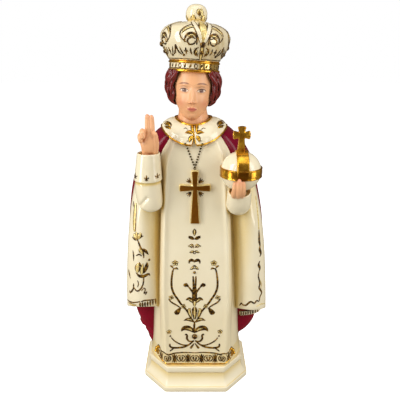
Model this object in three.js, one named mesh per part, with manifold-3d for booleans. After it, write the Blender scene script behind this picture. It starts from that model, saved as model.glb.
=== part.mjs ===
// A slip-cast devotional figure, the Infant of Prague, on a stepped plinth with cut corners.
// The figure wears a gown with a flat front between two round pleats, wide hanging sleeves, a cape, a collar,
// a pectoral cross and a domed crown. The right hand blesses and the left holds an orb with a cross.
// It is one casting, so it is one closed solid. Millimetres, +Z up, the figure looks along -Y,
// and the origin is the centre of the underside.
import * as THREE from 'three';
import { mergeVertices } from 'three/addons/utils/BufferGeometryUtils.js';
import Module from 'manifold-3d';

const wasm = await Module();
wasm.setup();

// The plinth: a foot with upright sides, a hollow moulding and an upright tier above it.
const plinthWidth = 90.6;
const plinthDepth = 77.7;
const plinthHeight = 21.5;
const cornerCut = 19.4;
const footHeight = 4.9;
const tierHeight = 5.3;
const tierInset = 5;
const tierNosing = 0.9;
const footBevel = 0.5;
const tierBevel = 0.6;
const mouldingSteps = 5;

// The figure's height from the top of the plinth, and what its carving was drawn at.
const figureHeight = 278.5;
const drawnHeight = 278.5;
const unit = figureHeight / drawnHeight;

// How far the hem of the gown and the foot of the cape stay inside the plinth's top, how deep both are
// set in it, and how far the gown's front panel reaches past the plinth's own front.
const hemLedge = 2.4;
const capeLedge = 0.5;
const seatDepth = 1;
const pleatReach = 1.9;

const steps = { gown: 40, cape: 54, sleeve: 20, face: 24, hair: 24, crown: 32, orb: 16 };

const up = (drawn) => plinthHeight + unit * (drawn - plinthHeight);

// Closed meshes to solids and back.
function toSolid(geometry) {
  geometry.deleteAttribute('normal');
  geometry.deleteAttribute('uv');
  const merged = mergeVertices(geometry, 1e-4);
  const corners = merged.index.array;
  const kept = [];
  for (let i = 0; i < corners.length; i += 3) {
    const [a, b, c] = [corners[i], corners[i + 1], corners[i + 2]];
    if (a !== b && b !== c && c !== a) kept.push(a, b, c);
  }
  const mesh = new wasm.Mesh({
    numProp: 3,
    vertProperties: merged.attributes.position.array,
    triVerts: new Uint32Array(kept),
  });
  return new wasm.Manifold(mesh);
}

function toGeometry(solid) {
  const mesh = solid.getMesh();
  const geometry = new THREE.BufferGeometry();
  geometry.setAttribute('position', new THREE.BufferAttribute(mesh.vertProperties, 3));
  geometry.setIndex(new THREE.BufferAttribute(mesh.triVerts, 1));
  geometry.computeVertexNormals();
  return geometry;
}

// A capped cylinder whose rings are moved by place(turn, rise): turn runs round from the front (-Y) by +X,
// and rise goes from 0 at the foot to 1 at the top.
function skin(around, rings, place) {
  const geometry = new THREE.CylinderGeometry(1, 1, 1, around, rings);
  const points = geometry.attributes.position;
  for (let i = 0; i < points.count; i += 1) {
    const rise = points.getY(i) + 0.5;
    const atCentre = Math.hypot(points.getX(i), points.getZ(i)) < 0.01;
    let point = new THREE.Vector3();
    if (atCentre) {
      for (let k = 0; k < around; k += 1) point.add(place((2 * Math.PI * k) / around, rise));
      point.divideScalar(around);
    } else {
      const turn = Math.round((Math.atan2(points.getX(i), points.getZ(i)) * around) / (2 * Math.PI));
      point = place((2 * Math.PI * ((turn + around) % around)) / around, rise);
    }
    points.setXYZ(i, point.x, point.y, point.z);
  }
  return toSolid(geometry);
}

// A value read between rows of named sizes, along a smooth curve through them.
function between(rows, at, name) {
  let i = 0;
  while (i < rows.length - 2 && at > rows[i + 1].at) i += 1;
  const [low, high] = [rows[i], rows[i + 1]];
  const span = high.at - low.at;
  const t = Math.min(Math.max((at - low.at) / span, 0), 1);
  const slope = (j) => {
    const [before, after] = [rows[Math.max(j - 1, 0)], rows[Math.min(j + 1, rows.length - 1)]];
    return (after[name] - before[name]) / (after.at - before.at);
  };
  const curve = 2 * t ** 3 - 3 * t ** 2;
  return low[name] * (1 + curve) - high[name] * curve
    + span * slope(i) * (t ** 3 - 2 * t ** 2 + t) + span * slope(i + 1) * (t ** 3 - t ** 2);
}

const row = (rows, at) => Object.fromEntries(
  Object.keys(rows[0]).map((name) => [name, name === 'at' ? at : between(rows, at, name)]),
);

// Rows drawn on the figure, brought to its height. The drawn "at" is a height above the underside.
const carved = (rows) => rows.map((drawn) => Object.fromEntries(
  Object.entries(drawn).map(([name, size]) => [name, name === 'at' ? up(size) : unit * size]),
));

// Ring heights for a form: every row's own, and more between rows that stand further apart than the most.
function ringHeights(rows, most) {
  const heights = [rows[0].at];
  for (let i = 1; i < rows.length; i += 1) {
    const gap = rows[i].at - rows[i - 1].at;
    const parts = Math.max(Math.ceil(gap / most), 1);
    for (let k = 1; k <= parts; k += 1) heights.push(rows[i - 1].at + (gap * k) / parts);
  }
  return heights;
}

function rowedSkin(around, rows, most, place) {
  const heights = ringHeights(rows, most);
  const last = heights.length - 1;
  return skin(around, last, (turn, rise) => place(turn, heights[Math.round(rise * last)]));
}

// A closed smooth curve through points of the plan, read at a share of the way round.
function roundPlan(points, share) {
  const corners = points.map(([x, y]) => new THREE.Vector3(x, y, 0));
  return new THREE.CatmullRomCurve3(corners, true, 'catmullrom', 0.5).getPoint(share);
}

const mirrored = (half) => [...half, ...half.slice(1, -1).reverse().map(([x, y]) => [-x, y])];

// Goes smoothly from 0 to 1 as a value goes from one limit to the other.
function ease(from, to, value) {
  const t = THREE.MathUtils.clamp((value - from) / (to - from), 0, 1);
  return t * t * (3 - 2 * t);
}

// The plinth's outline at an inset: an oblong with its corners cut at 45 degrees.
function plinthOutline(inset) {
  const halfWidth = plinthWidth / 2 - inset;
  const halfDepth = plinthDepth / 2 - inset;
  const cut = cornerCut - inset * (2 - Math.SQRT2);
  return { halfWidth, halfDepth, cut };
}

const plinthTop = plinthOutline(tierInset);

function plinth() {
  const tierFoot = plinthHeight - tierHeight;
  const levels = [[0, footBevel], [footBevel, 0], [footHeight, 0]];
  for (let i = 1; i <= mouldingSteps; i += 1) {
    const quarter = (Math.PI / 2) * (i / mouldingSteps);
    const inset = (tierInset + tierNosing) * Math.sin(quarter);
    levels.push([footHeight + (tierFoot - footHeight) * (1 - Math.cos(quarter)), inset]);
  }
  levels.push([tierFoot, tierInset], [plinthHeight - tierBevel, tierInset]);
  levels.push([plinthHeight, tierInset + tierBevel]);
  return skin(8, levels.length - 1, (turn, rise) => {
    const [z, inset] = levels[Math.round(rise * (levels.length - 1))];
    const { halfWidth, halfDepth, cut } = plinthOutline(inset);
    const corner = Math.round((turn * 4) / Math.PI);
    const outline = [
      [halfWidth - cut, -halfDepth], [halfWidth, cut - halfDepth], [halfWidth, halfDepth - cut],
      [halfWidth - cut, halfDepth], [cut - halfWidth, halfDepth], [-halfWidth, halfDepth - cut],
      [-halfWidth, cut - halfDepth], [cut - halfWidth, -halfDepth],
    ];
    return new THREE.Vector3(...outline[corner], z);
  });
}

// The gown: a flat front panel between two round pleats, a valley outside each, and a plain round back.
const gownHem = {
  at: plinthHeight - seatDepth,
  panel: plinthTop.halfWidth - plinthTop.cut + pleatReach,
  front: plinthTop.halfDepth - hemLedge,
  pleat: 0.4,
  valley: 0,
  side: plinthTop.halfWidth - hemLedge,
  back: plinthTop.halfDepth - hemLedge,
};
const gownRows = [
  gownHem,
  ...carved([
    { at: 36, panel: 26.3, front: 31.0, pleat: 0.7, valley: 1.2, side: 36.2, back: 30 },
    { at: 86, panel: 27.0, front: 29.8, pleat: 1.0, valley: 7, side: 34, back: 28 },
    { at: 120, panel: 26.0, front: 28.4, pleat: 1.1, valley: 8.5, side: 33, back: 27 },
    { at: 156, panel: 24.3, front: 27.2, pleat: 1.1, valley: 8, side: 32, back: 26 },
    { at: 182, panel: 22.5, front: 26.6, pleat: 0.7, valley: 5, side: 31, back: 24 },
    { at: 200, panel: 20.0, front: 26.0, pleat: 0, valley: 1.5, side: 29, back: 21 },
    { at: 211, panel: 15.0, front: 23.0, pleat: -0.3, valley: 0, side: 24, back: 16 },
    { at: 219, panel: 10.0, front: 17.0, pleat: -0.4, valley: 0, side: 15, back: 9 },
    { at: 223, panel: 6.0, front: 11, pleat: -0.4, valley: 0, side: 8, back: 5 },
  ]),
];

function gownPoint(turn, z) {
  const { panel, front, pleat, valley, side, back } = row(gownRows, z);
  const plan = mirrored([
    [0, -front],
    [0.5 * panel, -front],
    [0.8 * panel, -front],
    [0.95 * panel, -front - pleat],
    [panel + 1.8 * unit, -front + 2.2 * unit],
    [panel + 3.2 * unit, -front + valley + 3.4 * unit],
    [side, -0.45 * front],
    [1.03 * side, 0],
    [0.8 * side, 0.75 * back],
    [0.4 * side, 0.97 * back],
    [0, back],
  ]);
  const point = roundPlan(plan, turn / (2 * Math.PI));
  return point.setZ(z);
}

const gown = () => rowedSkin(steps.gown, gownRows, 24 * unit, gownPoint);

// The cape: over both shoulders and down the back to the plinth, drawn in above it, in deep folds behind.
const capeFoot = {
  at: plinthHeight - seatDepth,
  left: plinthTop.halfWidth - capeLedge,
  right: plinthTop.halfWidth - capeLedge,
  front: 9,
  back: plinthTop.halfDepth - capeLedge,
};
const capeRows = [
  capeFoot,
  ...carved([
    { at: 27, left: 43.0, right: 39.2, front: 9, back: 34 },
    { at: 33, left: 45.6, right: 40.5, front: 9, back: 34.5 },
    { at: 38, left: 47.8, right: 46.6, front: 9, back: 35 },
    { at: 45, left: 51.0, right: 51.4, front: 9, back: 35.4 },
    { at: 54, left: 54.2, right: 54.0, front: 8, back: 35.6 },
    { at: 74, left: 57.0, right: 57.6, front: 6, back: 35.6 },
    { at: 104, left: 57.0, right: 57.6, front: 6, back: 35 },
    { at: 128, left: 55.9, right: 56.2, front: 6, back: 34 },
    { at: 152, left: 53.6, right: 53.2, front: 8, back: 32.4 },
    { at: 174, left: 50.0, right: 48.4, front: 12, back: 30 },
    { at: 194, left: 43.6, right: 43.2, front: 18, back: 27 },
    { at: 206, left: 37.2, right: 36.4, front: 19.4, back: 23.4 },
    { at: 213, left: 31.2, right: 30.0, front: 18, back: 19 },
    { at: 218, left: 25.0, right: 24.0, front: 14.6, back: 14 },
    { at: 221, left: 18, right: 17.4, front: 10.5, back: 9.5 },
    { at: 223, left: 9, right: 9, front: 6, back: 5 },
  ]),
];
const capeFolds = { count: 9, foot: 2.3, neck: 0.25, drift: 0.9, begins: 0.24, full: 0.34 };

function capePoint(turn, z) {
  const { left, right, front, back } = row(capeRows, z);
  const half = (width) => [
    [0, -front], [0.42 * width, -front], [0.76 * width, -0.86 * front], [0.95 * width, -0.34 * front],
    [width, 4 * unit], [0.93 * width, 0.42 * back], [0.76 * width, 0.72 * back],
    [0.52 * width, 0.91 * back], [0.26 * width, 0.99 * back], [0, back],
  ];
  const plan = [...half(right), ...half(left).slice(1, -1).reverse().map(([x, y]) => [-x, y])];
  const share = turn / (2 * Math.PI);
  const point = roundPlan(plan, share);
  const fromFront = Math.min(share, 1 - share);
  const folded = ease(capeFolds.begins, capeFolds.full, fromFront);
  const rise = ease(capeRows[0].at, capeRows.at(-1).at, z);
  const depth = unit * THREE.MathUtils.lerp(capeFolds.foot, capeFolds.neck, rise) * folded;
  const wave = depth * Math.cos(4 * Math.PI * capeFolds.count * (share - 0.5) + capeFolds.drift * rise);
  const outward = new THREE.Vector3(point.x / right, point.y / back, 0).normalize();
  return point.addScaledVector(outward, wave).setZ(z);
}

const cape = () => rowedSkin(steps.cape, capeRows, 24 * unit, capePoint);

// The hanging sleeves: wide at the hem, which is cut lower behind, and open below.
const sleeves = {
  left: {
    side: -1,
    hemFront: 76.5,
    hemFall: 0.6,
    rows: carved([
      { at: 71, outer: 58.6, inner: 30.0, nose: 27 },
      { at: 100, outer: 57.0, inner: 30.2, nose: 27 },
      { at: 128, outer: 54.8, inner: 30.2, nose: 26.6 },
      { at: 150, outer: 52.6, inner: 29, nose: 26 },
      { at: 168, outer: 49.8, inner: 27.5, nose: 25 },
      { at: 184, outer: 45.6, inner: 25.5, nose: 22.5 },
      { at: 196, outer: 40, inner: 23, nose: 18 },
    ]),
  },
  right: {
    side: 1,
    hemFront: 73.5,
    hemFall: 0.46,
    rows: carved([
      { at: 71, outer: 59.6, inner: 34.5, nose: 27 },
      { at: 100, outer: 57.8, inner: 33.5, nose: 27 },
      { at: 128, outer: 55.4, inner: 32.0, nose: 26.6 },
      { at: 150, outer: 52.4, inner: 30, nose: 26 },
      { at: 168, outer: 48.6, inner: 27.5, nose: 25 },
      { at: 184, outer: 44.2, inner: 25.5, nose: 22.5 },
      { at: 196, outer: 39, inner: 23, nose: 18 },
    ]),
  },
};
const hemNose = 26;

function sleevePoint({ side, rows, hemFront, hemFall }, turn, rise, inset = 0) {
  const across = side > 0 ? turn : 2 * Math.PI - turn;
  const foot = up(hemFront);
  const flat = foot + (rows.at(-1).at - foot) * rise;
  const { outer, inner, nose } = row(rows, flat);
  const width = outer - inner;
  const plan = [
    [inner + 1.0 * unit, -nose + 7 * unit], [inner + 0.28 * width, -nose + 1.6 * unit],
    [inner + 0.55 * width, -nose], [inner + 0.82 * width, -nose + 4.2 * unit],
    [outer - 0.8 * unit, -nose + 10 * unit], [outer, -nose + 18 * unit],
    [outer - 2.5 * unit, -nose + 28 * unit], [inner + 0.4 * width, -nose + 33 * unit],
    [inner - 4 * unit, -nose + 26 * unit], [inner - 3 * unit, -nose + 14 * unit],
  ];
  const point = roundPlan(plan, across / (2 * Math.PI));
  const middle = new THREE.Vector3(inner + 0.5 * width, -nose + 15 * unit, 0);
  const away = point.clone().sub(middle);
  point.copy(middle).addScaledVector(away, 1 - inset / away.length());
  const fall = hemFall * (point.y + hemNose * unit) * (1 - rise) ** 2;
  return new THREE.Vector3(side * point.x, point.y, flat - fall);
}

const sleeveWall = 2.4;
const sleeveMouthDepth = 9;
const mouthOverrun = 2;

function sleeve(form) {
  const whole = skin(steps.sleeve, 9, (turn, rise) => sleevePoint(form, turn, rise));
  const height = form.rows.at(-1).at - up(form.hemFront);
  const mouth = skin(steps.sleeve, 1, (turn, rise) => {
    const point = sleevePoint(form, turn, rise ? sleeveMouthDepth / height : 0, sleeveWall);
    if (!rise) point.z -= mouthOverrun;
    return point;
  });
  return whole.subtract(mouth);
}

// A rounded limb along a smooth path: [x, y, z, half width, half depth] at each point of it. Its ends close
// over a share of its length, down to a small flat of the bluntest share of its girth.
const bluntest = 0.25;

function limb(around, rings, drawn, round = 0.12) {
  const places = drawn.map(([x, y, z]) => new THREE.Vector3(unit * x, unit * y, up(z)));
  const girths = drawn.map(([, , , wide, deep]) => new THREE.Vector3(unit * wide, unit * deep, 0));
  const path = new THREE.CatmullRomCurve3(places);
  const size = new THREE.CatmullRomCurve3(girths);
  return skin(around, rings, (turn, rise) => {
    const level = rise ** 2 * (3 - 2 * rise) * 0.5 + rise * 0.5;
    const centre = path.getPoint(level);
    const tangent = path.getTangent(level);
    const sideways = new THREE.Vector3(1, 0, 0).addScaledVector(tangent, -tangent.x).normalize();
    const forward = new THREE.Vector3().crossVectors(sideways, tangent);
    const { x: wide, y: deep } = size.getPoint(level);
    const fromEnd = Math.min(level, 1 - level) / round;
    const closing = fromEnd < 1 ? Math.max(Math.sqrt(1 - (1 - fromEnd) ** 2), bluntest) : 1;
    return centre
      .addScaledVector(sideways, Math.sin(turn) * wide * closing)
      .addScaledVector(forward, Math.cos(turn) * deep * closing);
  });
}

function ellipsoid([x, y, z], [wide, deep, tall], around = 16, rings = 10) {
  const ball = new THREE.SphereGeometry(1, around, rings);
  ball.rotateX(Math.PI / 2).scale(unit * wide, unit * deep, unit * tall).translate(unit * x, unit * y, up(z));
  return toSolid(ball);
}

// The blessing arm: an upright forearm in a hanging cuff, the palm to the front.
function blessingArm() {
  const forearm = limb(16, 8, [
    [-32.6, -24.8, 159.6, 5.8, 8.0], [-33.3, -25.2, 165, 8.8, 10.2], [-34.2, -25.8, 175, 9.6, 10.3],
    [-34.2, -26.6, 183, 9.2, 9.8], [-33.7, -27.4, 192, 8.2, 8.8], [-33.0, -28.4, 203, 7.1, 7.7],
  ], 0.06);
  const hollow = limb(10, 1, [[-33.0, -28.4, 199.5, 5.6, 6.1], [-32.9, -28.6, 208, 5.7, 6.3]], 0.01);
  const upperArm = limb(10, 4, [[-33, -8, 206, 9, 10], [-34, -12, 188, 10, 11], [-34, -16, 168, 9, 12]]);
  return forearm.subtract(hollow).add(upperArm);
}

// The blessing hand: two fingers raised together, two folded on the palm, and the thumb beside them.
function blessingHand() {
  const wrist = limb(10, 3, [
    [-33.0, -28.4, 196, 4.5, 3.8], [-32.9, -29.6, 204, 4.6, 3.7], [-32.4, -31.2, 211, 5.6, 3.6],
  ]);
  const palm = ellipsoid([-32.0, -32.2, 212.8], [6.2, 4.0, 9.2], 12, 8);
  const fingers = [
    [[-29.4, -32.8, 216, 1.8, 2.0], [-29.2, -33.6, 223.6, 1.7, 1.8], [-29.4, -33.8, 230.2, 1.5, 1.5]],
    [[-32.2, -33.0, 216, 1.8, 2.0], [-32.2, -33.9, 224, 1.7, 1.8], [-32.0, -34.1, 230.8, 1.5, 1.5]],
    [[-35.0, -33.4, 215, 1.8, 1.9], [-35.4, -36.8, 219.8, 1.8, 1.8], [-34.6, -38.4, 214.6, 1.6, 1.6]],
    [[-36.6, -32.4, 212, 1.7, 1.8], [-37.2, -35.4, 216.8, 1.7, 1.7], [-36.4, -37.2, 211.8, 1.5, 1.5]],
  ];
  const thumb = [
    [-28.6, -31.0, 205, 2.2, 2.4], [-27.0, -33.6, 212.6, 2.0, 2.0], [-27.2, -35.8, 219.8, 1.6, 1.7],
  ];
  return [...fingers, thumb].reduce(
    (hand, finger) => hand.add(limb(6, 5, finger)),
    wrist.add(palm),
  );
}

// The orb arm: a cuff that hangs open upward, the hand in it, and the orb on the hand.
const orb = { x: 30.6, y: -39.5, z: 193.3, radius: 13.7, band: 3.3, raised: 0.7, strapHalf: 4.0 };

function orbArm() {
  const forearm = limb(14, 7, [
    [33, -14, 161, 8.2, 7.3], [31.4, -26, 164.4, 8.8, 8.0],
    [30.3, -36, 170, 8.7, 8.3], [30.1, -40.5, 179, 8.2, 7.1],
  ], 0.07);
  const upperArm = limb(10, 4, [[33, -8, 204, 9, 10], [34.5, -10, 186, 10, 11], [34, -14, 164, 9, 12]]);
  const heel = limb(10, 4, [
    [29.4, -36, 168, 4.6, 4.4], [28.8, -41.5, 176, 4.8, 4.0], [28.4, -46, 181, 4.4, 3.0],
  ]);
  const fingers = [
    [[26.2, -46, 177.5, 1.8, 1.9], [25.4, -52.0, 183, 1.7, 1.7], [25.5, -53.4, 189.6, 1.4, 1.4]],
    [[28.6, -47, 177.5, 1.9, 1.9], [28.2, -53.4, 184, 1.8, 1.7], [28.1, -54.6, 191.8, 1.5, 1.4]],
    [[31.0, -46, 177.5, 1.8, 1.9], [31.1, -52.4, 183.4, 1.7, 1.7], [30.7, -53.8, 190.2, 1.4, 1.4]],
  ];
  return fingers.reduce(
    (arm, finger) => arm.add(limb(6, 5, finger)),
    forearm.add(upperArm).add(heel),
  );
}

// A flat cross with flared ends, extruded and turned to face the front. Its shape is drawn from the crossing.
function flaredCross({ top, foot, arm, waist, flare, footShare, thick, bevel }, [x, y, z]) {
  const shape = new THREE.Shape();
  const footFlare = footShare * flare;
  shape.moveTo(waist, waist);
  shape.lineTo(flare, top).lineTo(0, top + 0.25 * flare).lineTo(-flare, top).lineTo(-waist, waist);
  shape.lineTo(-arm, flare).lineTo(-arm, -flare).lineTo(-waist, -waist);
  shape.lineTo(-footFlare, -foot).lineTo(footFlare, -foot).lineTo(waist, -waist);
  shape.lineTo(arm, -flare).lineTo(arm, flare).closePath();
  const cross = new THREE.ExtrudeGeometry(shape, {
    depth: thick,
    bevelEnabled: true,
    bevelThickness: bevel,
    bevelSize: bevel,
    bevelOffset: -bevel,
    bevelSegments: 1,
  });
  cross.rotateX(Math.PI / 2).scale(unit, unit, unit).translate(unit * x, unit * y, up(z));
  return toSolid(cross);
}

// The orb's profile from its foot to its top, with the raised band round its middle.
function orbProfile() {
  const rings = 5;
  const bandTilt = Math.asin(orb.band / orb.radius);
  const upper = [[orb.radius + orb.raised, orb.band]];
  for (let i = 0; i < rings; i += 1) {
    const tilt = THREE.MathUtils.lerp(bandTilt, Math.PI / 2, i / rings);
    upper.push([orb.radius * Math.cos(tilt), orb.radius * Math.sin(tilt)]);
  }
  upper.push([0, orb.radius]);
  const lower = upper.map(([radius, z]) => [radius, -z]).reverse();
  return [...lower, ...upper].map(([radius, z]) => new THREE.Vector2(unit * radius, unit * z));
}

function orbAndCross() {
  const { x, y, z, radius, raised, strapHalf } = orb;
  const ball = new THREE.LatheGeometry(orbProfile(), steps.orb);
  ball.rotateX(Math.PI / 2).translate(unit * x, unit * y, up(z));
  const outer = radius + raised;
  const strapBall = ellipsoid([x, y, z], [outer, outer, outer], steps.orb, 10);
  const strapSlab = new THREE.BoxGeometry(2 * strapHalf, 4 * radius, 2 * radius);
  strapSlab.scale(unit, unit, unit).translate(unit * x, unit * y, up(z + radius));
  const strap = strapBall.intersect(toSolid(strapSlab));
  const cross = flaredCross(orbCross, [x - 0.3, y + 1.8, z + 24.4]);
  return toSolid(ball).add(strap).add(cross);
}

// The two crosses, by their sizes from the crossing: one stands on the orb and one hangs on the breast.
const orbCross = {
  top: 5.4, foot: 12, arm: 5.7, waist: 1.9, flare: 3.0, footShare: 0.95, thick: 3, bevel: 0.6,
};
const breastCross = {
  top: 12.6, foot: 27.6, arm: 11.2, waist: 1.9, flare: 2.4, footShare: 1.35, thick: 3.2, bevel: 0.6,
};
const breastCrossing = [0, -25.8, 177.6];

const pectoralCross = () => flaredCross(breastCross, breastCrossing);

// The collar: two flat halves that meet behind and part in a slit at the front.
const collar = { slitInside: 0.07, slitOutside: 0.17, frontDrop: 11.3, thick: 1.7, around: 8, along: 22 };

function collarPoint(turn, rise) {
  const parted = (slit) => THREE.MathUtils.lerp(slit, 2 * Math.PI - slit, rise);
  const edge = (slit, [x, y, z], [wide, deep], frontDrop, backDrop, backPull) => {
    const round = parted(slit);
    const front = Math.max(Math.cos(round), 0);
    const behind = Math.max(-Math.cos(round), 0);
    return new THREE.Vector3(
      x + wide * Math.sin(round),
      y - deep * Math.cos(round) - backPull * behind,
      z - frontDrop * front ** 1.5 - backDrop * behind,
    );
  };
  const inner = edge(collar.slitInside, [-1.7, -4.6, 225.4], [13.0, 14.6], 4.2, 0.6, 2.5);
  const outer = edge(collar.slitOutside, [-1.2, -5.0, 219.8], [24.0, 23.2], collar.frontDrop, 6.5, 2);
  const share = 0.5 - 0.5 * Math.cos(turn);
  const swell = Math.min(1, 2.4 * Math.sqrt(Math.max(share * (1 - share), 0)));
  const round = parted(collar.slitOutside);
  const raise = new THREE.Vector3(Math.sin(round) * 0.45, -Math.cos(round) * 0.5 - 0.1, 0.8).normalize();
  const point = inner.lerp(outer, share).addScaledVector(raise, Math.sin(turn) * collar.thick * swell);
  return new THREE.Vector3(unit * point.x, unit * point.y, up(point.z));
}

// The head, the hair and the crown lean together to the figure's left, from the base of the neck.
const head = { x: -3.2, y: -4.5, z: 222, lean: THREE.MathUtils.degToRad(3) };

function leaning(solid) {
  const place = new THREE.Matrix4()
    .makeTranslation(unit * head.x, unit * head.y, up(head.z))
    .multiply(new THREE.Matrix4().makeRotationY(head.lean))
    .multiply(new THREE.Matrix4().makeScale(unit, unit, unit));
  return solid.transform(place.elements);
}

// A round form about the head's own axis: surface(turn, tilt) gives a point, the tilt from below to above.
const poleGap = THREE.MathUtils.degToRad(2.7);

function roundForm(around, rings, surface) {
  return skin(around, rings, (turn, rise) => surface(turn, (rise - 0.5) * (Math.PI - 2 * poleGap)));
}

// A plain ideal head: an egg with a narrow jaw, a straight nose, brow, lips and chin in even thirds.
const face = { wide: 14.8, deep: 17.6, chin: 0.6, crown: 48, jawForward: 5.5 };
const nose = { halfWidth: 2.3, out: 2.4, bridge: 27, full: 17.6, tip: 16.2, base: 14.2 };
const sockets = { apart: 5.8, halfWidth: 3.4, at: 24.4, halfHeight: 2.6, out: -1.0 };
const lips = { apart: 0, halfWidth: 4.2, at: 11, halfHeight: 1.7, out: 0.7 };
const chin = { apart: 0, halfWidth: 4.6, at: 4.4, halfHeight: 2.4, out: 0.8 };

const bell = (value, half) => Math.exp(-((value / half) ** 2));

const swelling = (x, z, { apart, halfWidth, at, halfHeight, out }) => (
  out * bell(Math.abs(x) - apart, halfWidth) * bell(z - at, halfHeight)
);

function facePoint(turn, tilt) {
  const middle = (face.chin + face.crown) / 2;
  const half = (face.crown - face.chin) / 2;
  const high = Math.sin(tilt);
  const out = Math.cos(tilt) ** 0.8;
  const below = ease(0, -1, high);
  const narrowing = 1 - 0.17 * ease(0.1, -1, high) - 0.05 * ease(0.4, 1, high);
  const front = Math.cos(turn);
  const x = face.wide * narrowing * out * Math.sin(turn);
  let y = -face.deep * out * front * (1 - 0.22 * below) - face.jawForward * below;
  const z = middle + half * high;
  if (front > 0) {
    y -= nose.out * bell(x, nose.halfWidth) * ease(nose.bridge, nose.full, z) * ease(nose.base, nose.tip, z);
    y -= swelling(x, z, sockets) + swelling(x, z, lips) + swelling(x, z, chin);
  }
  return new THREE.Vector3(x, y, z);
}

// Short waved hair, fullest level with the eyes and gathered in at the nape.
const hair = { wide: 19.6, front: 17.2, rear: 19.4, middle: 25, up: 18, down: 15.5, back: 3 };
const locks = { count: 9, depth: 0.05, curl: 0.025 };

function hairPoint(turn, tilt) {
  const high = Math.sin(tilt);
  const out = Math.cos(tilt) ** (high > 0 ? 0.8 : 0.95);
  const front = Math.cos(turn);
  const lock = locks.depth * Math.sin(locks.count * turn + 2.2 * Math.sin(3.2 * tilt));
  const curl = locks.curl * Math.sin(5 * tilt + 2 * Math.cos(3 * turn));
  const fullness = out * (1 + (lock + curl) * Math.cos(tilt) * ease(0.9, 0.3, front));
  return new THREE.Vector3(
    hair.wide * fullness * Math.sin(turn),
    hair.back - (front > 0 ? hair.front : hair.rear) * fullness * front,
    hair.middle + (high > 0 ? hair.up : hair.down) * high,
  );
}

// The crown: a band between two beads, a full dome with four hoops, and a knob.
const crown = {
  rim: 34.6, deeper: 1.04, hoops: 4, turned: THREE.MathUtils.degToRad(12), hoopHalf: 0.1, hoopRaised: 0.8,
};
const crownProfile = [
  [0, 0], [17.8, 0], [18.4, 0.9], [17.5, 1.7], [17.5, 5.2], [18.2, 6.2], [17.4, 7.4],
  [20, 11.2], [22.6, 16.4], [23.8, 21.8], [22.6, 26], [18.4, 29.2], [11.8, 31.4], [5.8, 32.3],
  [6.9, 35], [7.2, 38], [6, 41], [3.2, 43], [0, 43.4],
];

function crownSolid() {
  const dome = new THREE.LatheGeometry(crownProfile.map(([r, z]) => new THREE.Vector2(r, z)), steps.crown);
  const points = dome.attributes.position;
  for (let i = 0; i < points.count; i += 1) {
    const [x, z, y] = [points.getX(i), points.getY(i), points.getZ(i)];
    const radius = Math.hypot(x, y);
    const turn = Math.atan2(x, y) - crown.turned;
    const offHoop = Math.abs(Math.sin((crown.hoops / 2) * turn)) / (crown.hoops / 2);
    const onDome = ease(7.4, 9, z) * ease(33, 31, z);
    const raised = radius > 1 ? crown.hoopRaised * onDome * (offHoop < crown.hoopHalf ? 1 : 0) : 0;
    const share = radius > 0 ? (radius + raised) / radius : 1;
    points.setXYZ(i, x * share, -y * share * crown.deeper, crown.rim + z + (z > 24 ? raised * 0.8 : 0));
  }
  return leaning(toSolid(dome));
}

// The neck, the head and the hair, whose neck runs up into the head so that nothing is left hollow.
function headSolid() {
  const neck = limb(14, 4, [
    [-1.8, -2, 208, 12, 12], [-2.2, -4, 222, 11.8, 11.8], [-2.8, -4, 248, 11.4, 12],
  ], 0.02);
  return neck
    .add(leaning(roundForm(steps.face, 15, facePoint)))
    .add(leaning(roundForm(steps.hair, 10, hairPoint)));
}

// The right sleeve's back fall, which hangs lower than its front and shows under it.
function sleeveBackFall() {
  const fall = {
    inner: 36, outer: 56, front: 7.5, back: -4, slant: 2, innerFoot: 54.5, outerFoot: 60, top: 84,
  };
  const squared = (value, power) => Math.sign(value) * Math.abs(value) ** power;
  return skin(16, 3, (turn, rise) => {
    const share = 0.5 + 0.5 * squared(Math.sin(turn), 0.6);
    const forward = 0.5 + 0.5 * squared(Math.cos(turn), 0.7);
    const x = THREE.MathUtils.lerp(fall.inner, fall.outer, share);
    const y = -THREE.MathUtils.lerp(fall.back, fall.front, forward) - fall.slant * share;
    const foot = THREE.MathUtils.lerp(fall.innerFoot, fall.outerFoot, share);
    return new THREE.Vector3(unit * x, unit * y, up(foot + (fall.top - foot) * rise));
  });
}

function casting() {
  const garments = [
    gown(), cape(), sleeve(sleeves.left), sleeve(sleeves.right), sleeveBackFall(),
    skin(collar.around, collar.along, collarPoint), blessingArm(), orbArm(),
  ];
  const ornaments = [blessingHand(), orbAndCross(), pectoralCross(), headSolid(), crownSolid()];
  return [...garments, ...ornaments].reduce((joined, piece) => joined.add(piece), plinth());
}

const glaze = new THREE.MeshStandardMaterial({ color: 0xefe6cc, roughness: 0.18, metalness: 0 });
const figure = new THREE.Mesh(toGeometry(casting()), glaze);
figure.name = 'statue';

const group = new THREE.Group();
group.add(figure);

export default group;
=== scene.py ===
import functools
import math

import bmesh
import bpy
from mathutils import Matrix, Vector
from mathutils.bvhtree import BVHTree


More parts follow.
